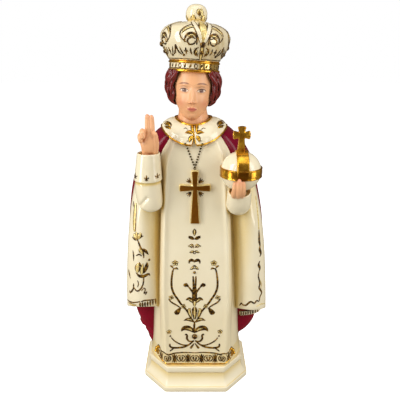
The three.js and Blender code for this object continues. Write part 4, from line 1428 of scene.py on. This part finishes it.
gold_tint = crown_piece.data.attributes.new("gold_tint", "FLOAT", "POINT")
for corner, spot in zip(crown_piece.data.vertices, gold_tint.data):
    spot.value = crown_gold_tint(corner.co / MM)


def crown_bead(radius, height, girth, tall):
    """A gilded bead round the crown's band."""
    section = [(radius + girth * math.cos(math.tau * i / 12), height + tall * math.sin(math.tau * i / 12))
               for i in range(12)]
    form = ring_of(section, (0, 0, crown["rim"]), 120)
    bmesh.ops.scale(form, vec=(1, crown["deeper"], 1), verts=form.verts)
    bmesh.ops.transform(form, matrix=head_place, verts=form.verts)
    return form


bead_sizes = [(17.3, 0.95, 1.1, 0.95), (17.2, 6.3, 1.05, 0.75), (17.15, 7.4, 0.55, 0.4)]
crown_beads = joined([crown_bead(*sizes) for sizes in bead_sizes])
finished(crown_beads, "crown_beads", gold, crease=80)


# The gilded relief: scrolls, flowers and borders stand a third of a millimetre proud of the glaze, as fine
# ridges in the mould, and are gilded by brush. The lines are a dark bronze gold, partly their own colour and
# partly a painted dark reflection, and the petals bright.
def bronze_line_gold():
    """Bronze gold over the ridges, in random streaks from a dark olive brown to gold, with a satin shine. The
    dark olive brown is partly the lines' own dark gold and partly a painted dark reflection of mirror gold,
    and the gold streaks are painted glints.
    """
    return brushed_film("brushed_bronze_gold", 2, 3.0, "38240A", "BC8C30", (0.46, 0.72), (1.5, 0.04),
                        Metallic=0.6, Roughness=0.34)


bronze = bronze_line_gold()
ridge_height = 0.34
gold_height = 0.46
stroke_step = 0.8


def drawn(kind):
    """A function that notes a stroke of a kind: its width, then its points, each by two numbers."""
    return lambda width, *numbers: (kind, width, list(zip(numbers[::2], numbers[1::2])))


line, leaf, drop, stud = (drawn(kind) for kind in ("line", "leaf", "drop", "stud"))
width_along = {
    "line": lambda share: 0.5 + 0.5 * math.sin(math.pi * share) ** 0.5,
    "leaf": lambda share: 0.12 + 0.88 * math.sin(math.pi * share ** 0.85) ** 0.9,
    "drop": lambda share: (0.2 + 0.8 * math.sin(math.pi * min(0.62 * share + 0.02, 1))
                           * ease(1.0, 0.86, share) ** 0.4),
}


def stroke(kind, width, points, surface, proud):
    """One ridge: a low rounded ribbon on a surface, through drawn points."""
    points = [Vector(point) for point in points]
    length = sum((b - a).length for a, b in zip(points, points[1:]))
    steps = max(round(length * surface.unit_length / stroke_step), 5)
    laid = [surface.find(*through(points, i / steps)) for i in range(steps + 1)]
    laid = [spot for spot in laid if spot]
    if len(laid) < 3:
        return None
    last = len(laid) - 1
    width_at = width_along[kind]

    def place(turn, rise):
        i = round(rise * last)
        at, normal = laid[i]
        ahead = laid[min(i + 1, last)][0] - laid[max(i - 1, 0)][0]
        sideways = ahead.cross(normal).normalized()
        share = width_at(i / last)
        return (at + sideways * (math.sin(turn) * width / 2 * share)
                + normal * (math.cos(turn) * proud * min(1, 0.4 + share)))

    return skin(8, last, place)


def stud_form(size, point, surface):
    """A small round stud on a surface."""
    spot = surface.find(*point)
    return ball(spot[0], (size / 2,) * 3, 10) if spot else None


from_outside = 60


class Round:
    """The outside of the crown, where a drawn point is its turn in degrees and its height over the rim."""
    unit_length = 0.38

    def __init__(self, name):
        self.tree = tree_of(pieces[name])

    def find(self, turn, height):
        way = Vector((math.sin(math.radians(turn)), -math.cos(math.radians(turn)), 0))
        start = head_place @ (way * from_outside + Vector((0, 0, crown["rim"] + height)))
        place, normal, _, _ = self.tree.ray_cast(start, head_place.to_3x3() @ -way)
        return (place, normal) if place else None


def shifted(drawing, across, up=0, way=1):
    """A drawing moved across and up. A way of -1 turns it round first."""
    return [(kind, width, [(way * a + across, b + up) for a, b in points]) for kind, width, points in drawing]


def mirror(drawing):
    """A drawing and its mirror image about the middle line."""
    return drawing + shifted(drawing, 0, way=-1)


def ring(radius, width, x, z, tall=1.0):
    """A small drawn ring, as one stroke."""
    turns = [math.tau * i / 8 for i in range(9)]
    return ("line", width, [(x + radius * math.cos(a), z + tall * radius * math.sin(a)) for a in turns])


def outlined(drawing, margin=0.75):
    """The wider dark ridges that show as outlines round a bright drawing."""
    return [(kind, width + margin, points) for kind, width, points in drawing]


def gilded(name, drawing, surface, material, bolder=1.0):
    """All the ridges of a drawing, as one piece. Bright gold stands a little prouder than the dark lines."""
    proud = ridge_height if material == bronze else gold_height
    forms = []
    for kind, width, points in drawing:
        width *= bolder
        if kind == "stud":
            form = stud_form(width, points[0], surface)
        else:
            form = stroke(kind, width, points, surface, proud)
        if form:
            forms.append(form)
    return finished(joined(forms), name, material, crease=80)


def petal(width, x, z, way, *reaches):
    """A leaf that points away from a place, through its distances from there."""
    return ("leaf", width, [(x + reach * way[0], z + reach * way[1]) for reach in reaches])


def flower(x, z, size, petals=5):
    """A small open flower, with its petals round a middle."""
    turns = [math.tau * (i + 0.25) / petals for i in range(petals)]
    return [petal(0.45 * size, x, z, (math.cos(turn), math.sin(turn)), 0.2 * size, 0.6 * size, size)
            for turn in turns]


# The gown's panel: a lily stem with leaves and long side tendrils, under four small sprays. Its right half is
# drawn about the middle line, and the left is its mirror image.
gown_middle = -1.0
gown_half = [
    line(0.5, 0, 145.5, 1.1, 143.5, 0.7, 141.5, 0, 140),
    leaf(1.6, 0, 137, 2.4, 138.2, 4.6, 139.8),
    line(0.6, 1.8, 137.6, 3.2, 137.8, 4.6, 138.5),
    line(0.7, 0.6, 130, 1.4, 131.8, 2.8, 132.3, 3.6, 131.2, 4.9, 131.7),
    line(0.7, 0.5, 127.6, 1.6, 127, 2.3, 126, 3.8, 126.4),
    leaf(1.5, -0.2, 117.8, 1, 119.2, 2.6, 119.7, 3.9, 118.8, 4.2, 116.6),
    line(0.6, 0, 115.3, 0.9, 114.6, 1.1, 113),
    leaf(0.8, 1, 112, 2.2, 112.2, 3.5, 111.9),
    line(0.9, 1.1, 106, 0.9, 100.5, 0.6, 95, 0.1, 90),
    line(0.9, 0.4, 89.5, 2.2, 93, 3.4, 95, 4.6, 96.6),
    drop(1.9, 4.4, 96.4, 6.4, 98.2, 8.6, 97.6),
    leaf(0.8, 5.6, 98, 6.4, 99.4, 7, 100),
    line(1, -0.1, 63.9, 1.7, 66.2, 3.7, 69.8, 5.7, 74.4, 8.7, 78.5, 11, 81.6, 13.6, 86, 16.2, 90.5, 17.7, 95,
         18.1, 100, 17.7, 105, 16.9, 110.2, 15.8, 113),
    line(0.8, 10.6, 77.2, 14, 80, 17.2, 82, 19.2, 83.8, 20.6, 86.2),
    drop(2.5, 11.4, 77.6, 13.2, 74.8, 15.4, 71.6),
    leaf(2.1, 0.8, 82, 2.6, 84.8, 4.6, 86, 6.8, 84.8),
    line(0.7, 0.8, 78.5, 1.7, 75.6, 1.3, 72, 0.5, 67),
    leaf(1.9, 0.2, 64.2, 3.2, 66.4, 5.8, 67, 8.8, 65.8),
    leaf(2.8, 0.2, 54.2, 3, 57.4, 6.4, 58.8, 9.2, 58, 10.9, 55.6),
    line(1, 0.4, 46.5, 2.7, 45.6, 5, 46.3, 6.4, 48.8, 6.1, 51.2, 6.9, 52.7, 7.7, 51.9),
    line(0.8, 0.6, 46, 4.3, 42.8, 8, 41.9, 12.6, 43.4, 16.7, 46.3, 19.2, 49.4),
    stud(0.9, 20, 51),
    line(1.1, 1.2, 45.7, 5.3, 42, 9.5, 40, 14.7, 39.3, 18.8, 39.6, 20.5, 41.2, 20.4, 43.4),
    line(0.8, 17, 39.2, 18.8, 37.6, 20.6, 36),
    drop(1.2, 0.3, 43.9, 2.2, 40.8, 3.6, 38.7),
    ring(0.9, 0.5, 2.2, 131.2),
]
gown_flowers = [(14.9, 117.2, 2.7, 5), (8.9, 79.4, 2.2, 4), (18.4, 87.2, 2.3, 4), (20.9, 55.2, 2.3, 5)]
gown_half += [stud(1, x, z) for x, z, _, _ in gown_flowers]
gown_half += [leaf(1, 16.6, 112.8, 17.6, 114.4, 19.2, 114.8), leaf(1, 15.8, 112.2, 13.8, 112.8, 12.6, 111.6)]
gown_middle_lines = [
    line(2.4, 0, 97, 0, 92, 0, 87, 0, 84),
    line(1, 0, 64.5, -0.3, 59.7, 0, 54),
    stud(1.3, 0, 109.2),
    ring(1, 0.5, 0, 126),
    ring(1.1, 0.5, 0, 113.6),
]
gown_bright_half = [
    leaf(0.9, 1.4, 83, 3, 85, 5.2, 85.4),
    leaf(2, 2.2, 69, 3.8, 72.6, 4.4, 76.2, 2.8, 76.8),
    leaf(1.3, 1.6, 56, 4, 58, 7.4, 58.4),
    leaf(0.9, 2, 66, 4.4, 67.2, 6.8, 66.6),
    leaf(0.9, 0.5, 131.6, 2, 132.6, 3.6, 131.4, 4.7, 131.6),
    leaf(0.9, 0.6, 127.4, 2, 126.8, 3.6, 126.6),
    leaf(0.8, 0.4, 114.6, 1.6, 113.4, 3, 112.2),
]
for place in gown_flowers:
    gown_bright_half += flower(*place)
gown_bright_middle = [
    leaf(2.2, 0, 83.5, 0, 81.5, 0, 78.6),
    leaf(1.7, 0, 78.4, 0, 73, 0, 67.6),
    stud(3.8, 0, 50.6),
    leaf(1.4, 0, 140.2, 0, 142.6, 0, 144.8),
]
panel_front = Front("gown")
gown_bright = shifted(mirror(gown_bright_half) + gown_bright_middle, gown_middle)
gown_drawing = shifted(mirror(gown_half) + gown_middle_lines, gown_middle)
gilded("gown_scrollwork", gown_drawing, panel_front, bronze, 1.75)
gilded("gown_petal_outlines", outlined(gown_bright, 1.0), panel_front, bronze)
gilded("gown_petals", gown_bright, panel_front, pale_gold)


# The hem's border: scrolled roundels between upright bars, under a waved line, with a gilded cord at the foot
# and a curl on each corner of the gown.
def roundel(x, wide=3.6, tall=3.1):
    """Two scrolls that face each other round a heart."""
    half = [
        line(0.6, 0.3, tall, 0.7 * wide, 0.8 * tall, wide, 0, 0.6 * wide, -0.8 * tall, 0.2, -0.7 * tall,
             0.5 * wide, -0.1),
        leaf(0.9, 0.2, -0.4 * tall, 0.4 * wide, 0.3 * tall, 0.1, 0.6 * tall),
    ]
    return shifted(mirror(half), x, hem["z"])


hem = {"middle": -0.9, "pitch": 11.4, "z": 28.6, "top": 34.4, "foot": 23.2}
hem_half = [
    line(0.8, 0, hem["top"], 7, 34.7, 12, 34.5, 17.4, 33.8, 21.4, 32.6, 24.8, 34.2, 28.4, 33.4, 31, 36),
]
for i in (0, 1, 2):
    bar = hem["pitch"] * (i + 0.5)
    hem_half.append(leaf(1.7, bar, 24.4, bar, 28.6, bar, 33.4))
    hem_half += [line(0.5, bar + 1.9 * way, 32.6, bar + 0.9 * way, 28.6, bar + 1.9 * way, 24.6)
                 for way in (-1, 1)]
hem_half += roundel(hem["pitch"]) + roundel(2 * hem["pitch"], 2.8, 2.8)
hem_half += [line(0.7, 29.6, 36, 31.6, 34.6, 32, 31.8, 30.4, 30.4, 29.2, 32),
             line(0.6, 30.4, 27.4, 31.8, 29, 33.2, 27.2, 32, 25.4)]
hem_drawing = shifted(mirror(hem_half) + roundel(0), hem["middle"])
gilded("hem_border", hem_drawing, panel_front, bronze, 1.7)
hem_bright = [
    leaf(3, 29, 35.4, 31.4, 33.4, 31, 30.4), drop(3, 31.2, 31.4, 31.4, 28.4, 32.6, 25.6),
    stud(3.4, 32.6, 30.6), stud(3, 33.6, 27), stud(2.6, 31, 34),
    line(1.5, 0, hem["foot"], 10, hem["foot"], 20.5, hem["foot"], 26.4, 24.2, 31, 25.4),
]
gilded("hem_cord", shifted(mirror(hem_bright), hem["middle"]), panel_front, gold)


# The sleeves' borders: a lily spray down the outside of the left one, with a comb of short fringe at its hem,
# and a waved stem down the right one that runs on along its hem.
left_sleeve_lines = [
    line(0.8, -46.5, 164.5, -47, 162.5, -46.2, 160.5, -45.2, 160.8, -44.8, 163.5),
    leaf(1.2, -49, 136.6, -46.6, 135.4, -44.4, 135.6),
    leaf(1.3, -44, 136.2, -42.4, 138.2, -39.6, 139),
    line(1, -44.4, 136, -43.4, 133, -42.2, 129.5, -40.5, 126, -40.2, 120.5),
    leaf(1.6, -40.6, 128.6, -38.6, 126, -36.6, 122.4),
    line(0.8, -46, 122.2, -43.6, 123.8, -41.6, 122.2),
    stud(1.3, -36.3, 118),
    leaf(1.9, -47.2, 107.6, -44.2, 105, -40.9, 104.6, -37.4, 105.6, -36.2, 103.8),
    leaf(2.2, -40.9, 107, -38.6, 112.4, -38, 116.4),
    line(0.9, -43.8, 117, -42.4, 113, -41.2, 108),
    line(0.9, -40.9, 104, -41.6, 98.2, -43.8, 93.4, -46.9, 91, -49.4, 93.4, -50, 95.5),
    line(0.6, -46, 101, -45.4, 98, -46.2, 94.8),
    line(0.7, -43.2, 91.6, -41.2, 94, -40.3, 92, -41.4, 89, -39, 90, -40.6, 87.4),
    leaf(1, -48.7, 126, -48.3, 121, -48.5, 116.8),
    leaf(1, -53.6, 107.4, -53, 103.4, -52.2, 100),
    line(1, -49.5, 97, -50.1, 92, -53.2, 87, -53.6, 88.6),
    line(0.8, -56.6, 77.8, -53, 78.2, -48, 80.2, -44.7, 82),
    line(0.9, -44, 81.6, -41, 82.4, -37, 81.6, -33.6, 80.6),
]
comb_pitch = 2.0
left_sleeve_lines += [leaf(1.1, x, 81.2, x, 78.6, x, 75.6) for x in
                      [-45 + comb_pitch * i for i in range(7)]]
left_front = Front("left_sleeve")
gilded("left_sleeve_spray", left_sleeve_lines, left_front, bronze, 1.55)
left_sleeve_petals = [
    line(2.6, -44.8, 164, -45.8, 156, -46.4, 149, -46.6, 141.8),
    leaf(2.2, -47.4, 140, -46.4, 138, -45.2, 136),
    leaf(2.2, -45, 142, -44.8, 139, -44.4, 136),
    leaf(2.2, -41.6, 142, -42.6, 139, -43.8, 136),
    leaf(2, -43.6, 128.6, -42, 126.4, -41, 123.4),
    leaf(3, -45.8, 107.4, -45.6, 112, -44.2, 116.6),
    leaf(2, -42.4, 106, -42.2, 110.4, -41, 116),
    leaf(1.4, -55.6, 76.2, -51.5, 76.4, -47.6, 78),
]
gilded("left_sleeve_outlines", outlined(left_sleeve_petals, 0.6), left_front, bronze, 1.25)
gilded("left_sleeve_petals", left_sleeve_petals, left_front, pale_gold, 1.2)

right_sleeve_lines = [
    leaf(1.4, 48.1, 143, 48.5, 138, 48.8, 133.5, 49.6, 130, 49.5, 126.5),
    leaf(1.5, 49.6, 130, 49.5, 126.5, 50.7, 122.8, 49.8, 120.2),
    leaf(1.3, 50.1, 117, 49.1, 113.8, 50.4, 110.6, 49.4, 107),
    line(0.9, 49.6, 107.4, 49.4, 104, 50.4, 100, 51, 96.5, 50.6, 93, 53.2, 88, 51.8, 84.6, 51.4, 81),
    line(0.9, 51.1, 80.6, 49, 82.2, 47.2, 80, 44.6, 81.4, 42.6, 79.6, 41, 77, 38.6, 76, 37.4, 77, 36.2, 73.8),
]
right_front = Front("right_sleeve")
gilded("right_sleeve_stem", right_sleeve_lines, right_front, bronze, 1.8)
right_sleeve_petals = [line(1.3, 44.6, 169, 46.4, 158, 47.6, 148, 48, 143),
                       leaf(0.9, 51.2, 100, 52.2, 96, 52.2, 91),
                       leaf(0.9, 57.6, 74.6, 53.2, 77.2, 48.6, 76.8)]
gilded("right_sleeve_petals", right_sleeve_petals, right_front, pale_gold)


# The fringe of the lining that hangs under the right sleeve: a comb of short cream tufts, cast on its lower
# edge and parted by fine dark lines.
fringe = {"tall": 3.9, "proud": 0.5, "pitch": 2.0, "below": 1.1, "notch": 0.35, "rise": 0.26}


def fringe_point(turn, rise):
    at = back_fall_point(turn, 0)
    foot = mix(back_fall["inner_foot"], back_fall["outer_foot"], back_fall_share(turn)) - fringe["below"]
    middle = Vector((mix(back_fall["inner"], back_fall["outer"], 0.5), -1.75, 0))
    away = Vector((at.x, at.y, 0)) - middle
    notch = fringe["notch"] * math.cos(math.tau * at.x / fringe["pitch"]) * (1 - rise)
    out = middle + away * (1 + (fringe["proud"] + notch) / away.length)
    return Vector((out.x, out.y, foot + fringe["tall"] * rise))


finished(skin(220, 6, fringe_point), "right_sleeve_fringe", cream)
fringe_lines = [shifted([line(1.1, 0, 54.2, 0, 55.8, 0, 57.6)], x, fringe["rise"] * (x - 37))[0]
                for x in [37.6 + fringe["pitch"] * i for i in range(9)]]
fringe_lines.append(line(0.8, 36.6, 57.9, 46, 60.3, 55.4, 62.8))
gilded("right_fringe_lines", fringe_lines, Front("right_sleeve_fringe", "right_sleeve_lining"), bronze)


# The cuff's three lilies, and the leaves that fill the corners of the breast cross. Both are low ridges in
# bronze gold.
def lily(x, z, size):
    """A small upright lily: a spearhead between two curled leaves over a bar."""
    half = [leaf(0.3, 0.1, 0, 0.5, 0.1, 0.62, 0.5), line(0.2, 0, -0.5, 0.25, -0.35, 0.4, -0.55)]
    drawing = mirror(half) + [leaf(0.45, 0, -0.7, 0, 0.2, 0, 1.1)]
    return [(kind, width * size, [(x + a * size, z + b * size) for a, b in points])
            for kind, width, points in drawing]


cuff_lilies = lily(-34, 187, 2.5) + lily(-26.8, 188, 2.3) + lily(-42.2, 187.6, 2.3)
gilded("cuff_lilies", cuff_lilies, Front("blessing_cuff"), bronze, 1.2)
leaf_spray = []
for across, upward in ((1, 1), (-1, 1), (1, -1), (-1, -1)):
    for spread in (0.45, 0.8, 1.15):
        way = (across * math.cos(spread), upward * math.sin(spread))
        leaf_spray.append(petal(1.05, 2.4 * across, 3.0 * upward, way, 0.6, 2.6, 4.8))
gilded("cross_leaves", shifted(leaf_spray, breast_crossing[0], breast_crossing[2]), panel_front, bronze)


# The collar's flourishes: a flower spray beside the slit on each half, and a shell at each shoulder, in
# bright gold with dark outlines.
collar_front = Front("collar")
collar_half = [line(0.7, 2, -1.6, 3.6, -3.2, 5.4, -3.6), line(0.6, 4.6, 3.6, 6.2, 4.6, 7.6, 4)]
collar_half_petals = [
    leaf(2.5, 1.4, 1, 3.6, 2.2, 6.6, 1.6), leaf(2.2, 1.4, 0, 2.8, -1.8, 3.6, -4.4),
    drop(2, 1, 2, 1.5, 4.4, 1.5, 7),
]
shell = [line(1, -3.4, -0.4, -1.8, 1.2, 0.6, 1.2, 2.2, -0.2, 1.6, -1.8),
         leaf(1.2, -3.2, -1.6, -1.2, -1.4, 0.6, -2.6)]
shell_petals = [leaf(2.8, -2.8, -0.4, -0.8, 0.4, 1.4, -0.8), leaf(1.8, -2.2, -2.2, 0, -1.8, 2, -2.8)]
spray_middle = (-0.9, 215)
left_shoulder = (-19.6, 221.2)
right_shoulder = (17.6, 221.6)


def on_collar(flowers, shells):
    """The collar's ornaments: half of a flower spray with its mirror image, and a shell turned each way."""
    return (shifted(mirror(flowers), *spray_middle) + shifted(shells, *left_shoulder)
            + shifted(shells, *right_shoulder, way=-1))


collar_lines = on_collar(collar_half, shell)
collar_petals = on_collar(collar_half_petals, shell_petals)
gilded("collar_flourish_lines", collar_lines + outlined(collar_petals, 0.8), collar_front, bronze)
gilded("collar_flourish_petals", collar_petals, collar_front, gold)


# The crown's relief: at each of the four hoops two ribbons run down from the knob to a knot, with gold
# between them, and scrolls lie on both sides over a row of leaves. Marks like set stones run round the band.
crown_round = Round("crown")
hoop_turns = [math.degrees(crown["turned"]) + 360 / crown["hoops"] * i for i in range(crown["hoops"])]
ribbon_half = [line(3, 23, 31.4, 17, 30, 10.6, 26.8, 6, 22.8, 3, 18.4)]
hoop_gold = [
    leaf(5.4, 0, 32, 0, 28, 0, 22.5, 0, 16), line(2, 0, 18, 0, 13, 0, 8.2),
    stud(3, 0, 17.2), stud(2, 0, 12.6),
]
scroll_half = [
    line(1, 13, 29, 22, 28.6, 31, 26.8, 36, 23.4, 32, 20, 24, 18),
    line(1.5, 9.4, 17, 9.8, 20.8, 13.4, 23.2, 21, 23.6, 27, 21.4, 28.6, 18.2),
    line(1.2, 12, 20.4, 18, 21.2, 23.8, 19.4, 21, 17, 14, 17.4, 11.6, 19.2),
    leaf(1.5, 5.6, 15.4, 10, 14.6, 12.4, 12.4, 9, 10.6, 5.4, 12),
    leaf(1, 5.6, 9.8, 9, 11.8, 12.6, 15),
    line(1.2, 23.4, 13, 27, 13, 30.6, 13),
    line(1.2, 27, 11, 27, 13, 27, 15),
    leaf(1.2, 16.6, 11, 18.8, 12.8, 19, 15.2),
    leaf(1.3, 33.2, 11.2, 35.6, 13, 38.2, 15.6),
    leaf(1, 35, 10.8, 38.6, 11.6, 41.2, 13.6),
    drop(1.4, 41.4, 11.4, 43, 14, 44.6, 16.8),
]
arc_gold_half = [
    leaf(1.3, 14, 27.2, 22, 27, 30, 25.2, 33.4, 22.8),
    leaf(1, 12.6, 21.8, 18, 22.6, 24, 21.2),
    leaf(0.8, 7.4, 13.6, 9.6, 12.8, 10.2, 11.8),
    stud(1, 32, 10.6),
]
crown_lines, crown_gold, crown_ribbons = [], [], []
for turn in hoop_turns:
    crown_lines += shifted(mirror(scroll_half), turn)
    crown_gold += shifted(mirror(arc_gold_half) + hoop_gold, turn)
    crown_ribbons += shifted(mirror(ribbon_half), turn)
crown_marks = 30
first_mark = 4
for i in range(crown_marks):
    mark = leaf(1.5, -2, 2.8, 0.4, 4, 2, 5.4) if i % 3 else ring(3.2, 0.8, 0, 4, 0.42)
    crown_lines += shifted([mark], 360 / crown_marks * i + first_mark)
for turn in range(0, 360, 60):
    for height in (8.3, 2.3):
        crown_lines += shifted([line(0.7, 0, height, 15, height, 30, height, 45, height, 61, height)], turn)
gilded("crown_scrollwork", crown_lines, crown_round, bronze)
gilded("crown_gold_outlines", outlined(crown_ribbons + crown_gold, 0.9), crown_round, bronze)
gilded("crown_gold", crown_gold, crown_round, pale_gold)
gilded("crown_ribbons", crown_ribbons, crown_round, cream)

first_sepal = 42
knob_sepals = [leaf(3.4, turn, 32.8, turn, 34.2, turn + 3, 36.4)
               for turn in range(first_sepal, first_sepal + 360, 60)]
knob_sepals += [line(1.2, 2, 36.8, 9, 39, 20, 38.4, 24, 36, 16, 35),
                leaf(1.6, 24, 40.4, 30, 37.4, 34, 34.6), stud(2, 14, 37)]
gilded("knob_outlines", outlined(knob_sepals, 0.6), crown_round, bronze)
gilded("knob_relief", knob_sepals, crown_round, pale_gold)


# The tan stain and painted shade: a tan stain sprayed over the glaze and wiped off the heights, so that it
# stays in the hollows, together with painted shade there. Each point takes as much of it as its surroundings
# close it in, and the hair takes painted shade in its furrows in the same way.
sampling_rays = 22
wide_reach = 17
near_reach = 4.5
stain_and_shade_from = {"wide": 0.27, "near": 0.08}
stain_and_shade_gain = {"wide": 0.95, "near": 0.8}
reach_fade = 0.6
ray_start = 0.12
grazing = 0.08
furrow_shade_gain = 3.2
furrow_shade_from = 0.3
most_stain_and_shade = {"glaze": 0.58, "gold": 0.9}
# How strong the stain and the painted shade are at some places: painted shadow under the tier and under the
# cuff's lapped edge, painted shade down the sleeves' inner sides, a painted dark reflection on the front of
# the orb's band and painted shade at its sides, less on the breast, more in the cape's folds, more towards
# the gown's foot and over the hem's border, a little more over the crown, and no more than a little inside
# the orb's cuff.
passes = {
    "tier_shadow": 0.38, "breast_less_shade": 0.75, "lower_gown": 0.1, "hem": 0.22, "crown": 0.08,
    "orb_cuff_most": 0.3, "cape": 1.7, "orb_shadow": 1.2, "orb_side_shade": 0.6, "left_sleeve": 0.3,
    "right_sleeve": 0.36, "cuff_edge_shadow": 0.6,
}


def sampling_directions():
    """Directions spread evenly over a sphere on a spiral."""
    golden_turn = math.pi * (3 - math.sqrt(5))
    for i in range(2 * sampling_rays):
        height = 1 - (2 * i + 1) / (2 * sampling_rays)
        out = math.sqrt(1 - height ** 2)
        yield Vector((out * math.cos(golden_turn * i), out * math.sin(golden_turn * i), height))


def closed_in(place, normal, tree, directions):
    """How far a point is closed in by the casting around it, widely and nearby, each from 0 to 1."""
    start = place + normal * ray_start
    total = wide = near = 0.0
    for way in directions:
        facing = way.dot(normal)
        if facing > grazing:
            total += facing
            distance = tree.ray_cast(start, way, wide_reach)[3]
            if distance is not None:
                wide += facing * (1 - distance / wide_reach) ** reach_fade
                near += facing * max(1 - distance / near_reach, 0) ** reach_fade
    return wide / total, near / total


def stain_and_shade_amount(name, x, z, wide, near):
    """The stain and painted shade at a point, with painted shadow under the tier and under the cuff's edge,
    more painted shade at some other places and less at others.
    """
    amount = stain_and_shade_gain["wide"] * max(wide - stain_and_shade_from["wide"], 0)
    amount += stain_and_shade_gain["near"] * max(near - stain_and_shade_from["near"], 0)
    if name == "plinth":
        tier_foot = plinth["height"] - plinth["tier"]
        # Painted shadow in the hollow moulding under the tier.
        amount += passes["tier_shadow"] * ease(7, 14.5, z) * ease(tier_foot, tier_foot - 0.1, z)
    elif name == "gown":
        # Less stain and painted shade on the breast.
        amount *= 1 - passes["breast_less_shade"] * ease(165, 185, z)
        # Darker towards the gown's foot, and over the hem's border.
        amount += passes["lower_gown"] * ease(120, 45, z)
        amount += passes["hem"] * ease(hem["top"] + 0.6, hem["top"] - 0.6, z)
    elif name == "crown":
        amount += passes["crown"]
    elif name == "orb_cuff":
        amount = min(amount, passes["orb_cuff_most"])
    elif name == "cape":
        # More in the cape's folds: glaze that pools there, and painted shade.
        amount = passes["cape"] * amount
    elif name in ("orb_band", "orb_strap"):
        across, up = x - orb["x"], z - orb["z"]
        # On the orb's band and strap: a painted dark reflection in the middle, and painted shade at their
        # sides.
        amount = passes["orb_shadow"] * bell(across, 6) * bell(up, 5)
        amount += passes["orb_side_shade"] * ease(11, 14.4, abs(across))
    elif name == "left_sleeve":
        # Painted shade down the left sleeve's inner side.
        amount += passes["left_sleeve"] * ease(-40, -30.5, x + 0.1 * (z - 120))
    elif name == "right_sleeve":
        # Painted shade down the right sleeve's inner side.
        amount += passes["right_sleeve"] * ease(45, 33, x - 0.08 * (z - 120))
    elif name == "blessing_cuff":
        above = z - cuff["line"]
        # Painted shadow under the cuff's lapped edge.
        amount += passes["cuff_edge_shadow"] * ease(-3.2, -0.6, above) * ease(0.3, 0, above)
    return min(amount, most_stain_and_shade["gold" if name in gold_names else "glaze"])


solid_names = [
    "plinth", "gown", "cape", "left_sleeve", "right_sleeve", "right_sleeve_lining", "right_sleeve_fringe",
    "right_upper_arm", "blessing_cuff", "left_upper_arm", "orb_cuff", "blessing_hand", "orb_hand", "orb",
    "collar", "neck", "head", "hair", "crown",
]
gold_names = ["orb_band", "orb_strap"]
body_form = bmesh.new()
for name in solid_names:
    body_form.from_mesh(pieces[name].data)
bmesh.ops.scale(body_form, vec=(1 / MM,) * 3, verts=body_form.verts)
body_tree = BVHTree.FromBMesh(body_form)
body_form.free()
directions = list(sampling_directions())
# Each point's stain and painted shade, and the painted shade in the furrows, which the hair's paint reads.
for name in solid_names + gold_names:
    mesh = pieces[name].data
    closed = [closed_in(corner.co / MM, corner.normal, body_tree, directions) for corner in mesh.vertices]
    stain_and_shade = mesh.attributes.new("stain_and_painted_shade", "FLOAT", "POINT")
    furrow_shade = mesh.attributes.new("furrow_shade", "FLOAT", "POINT")
    for i, (wide, near) in enumerate(closed):
        at = mesh.vertices[i].co / MM
        stain_and_shade.data[i].value = stain_and_shade_amount(name, at.x, at.z, wide, near)
        furrow_shade.data[i].value = min(max(furrow_shade_gain * near - furrow_shade_from, 0), 1)
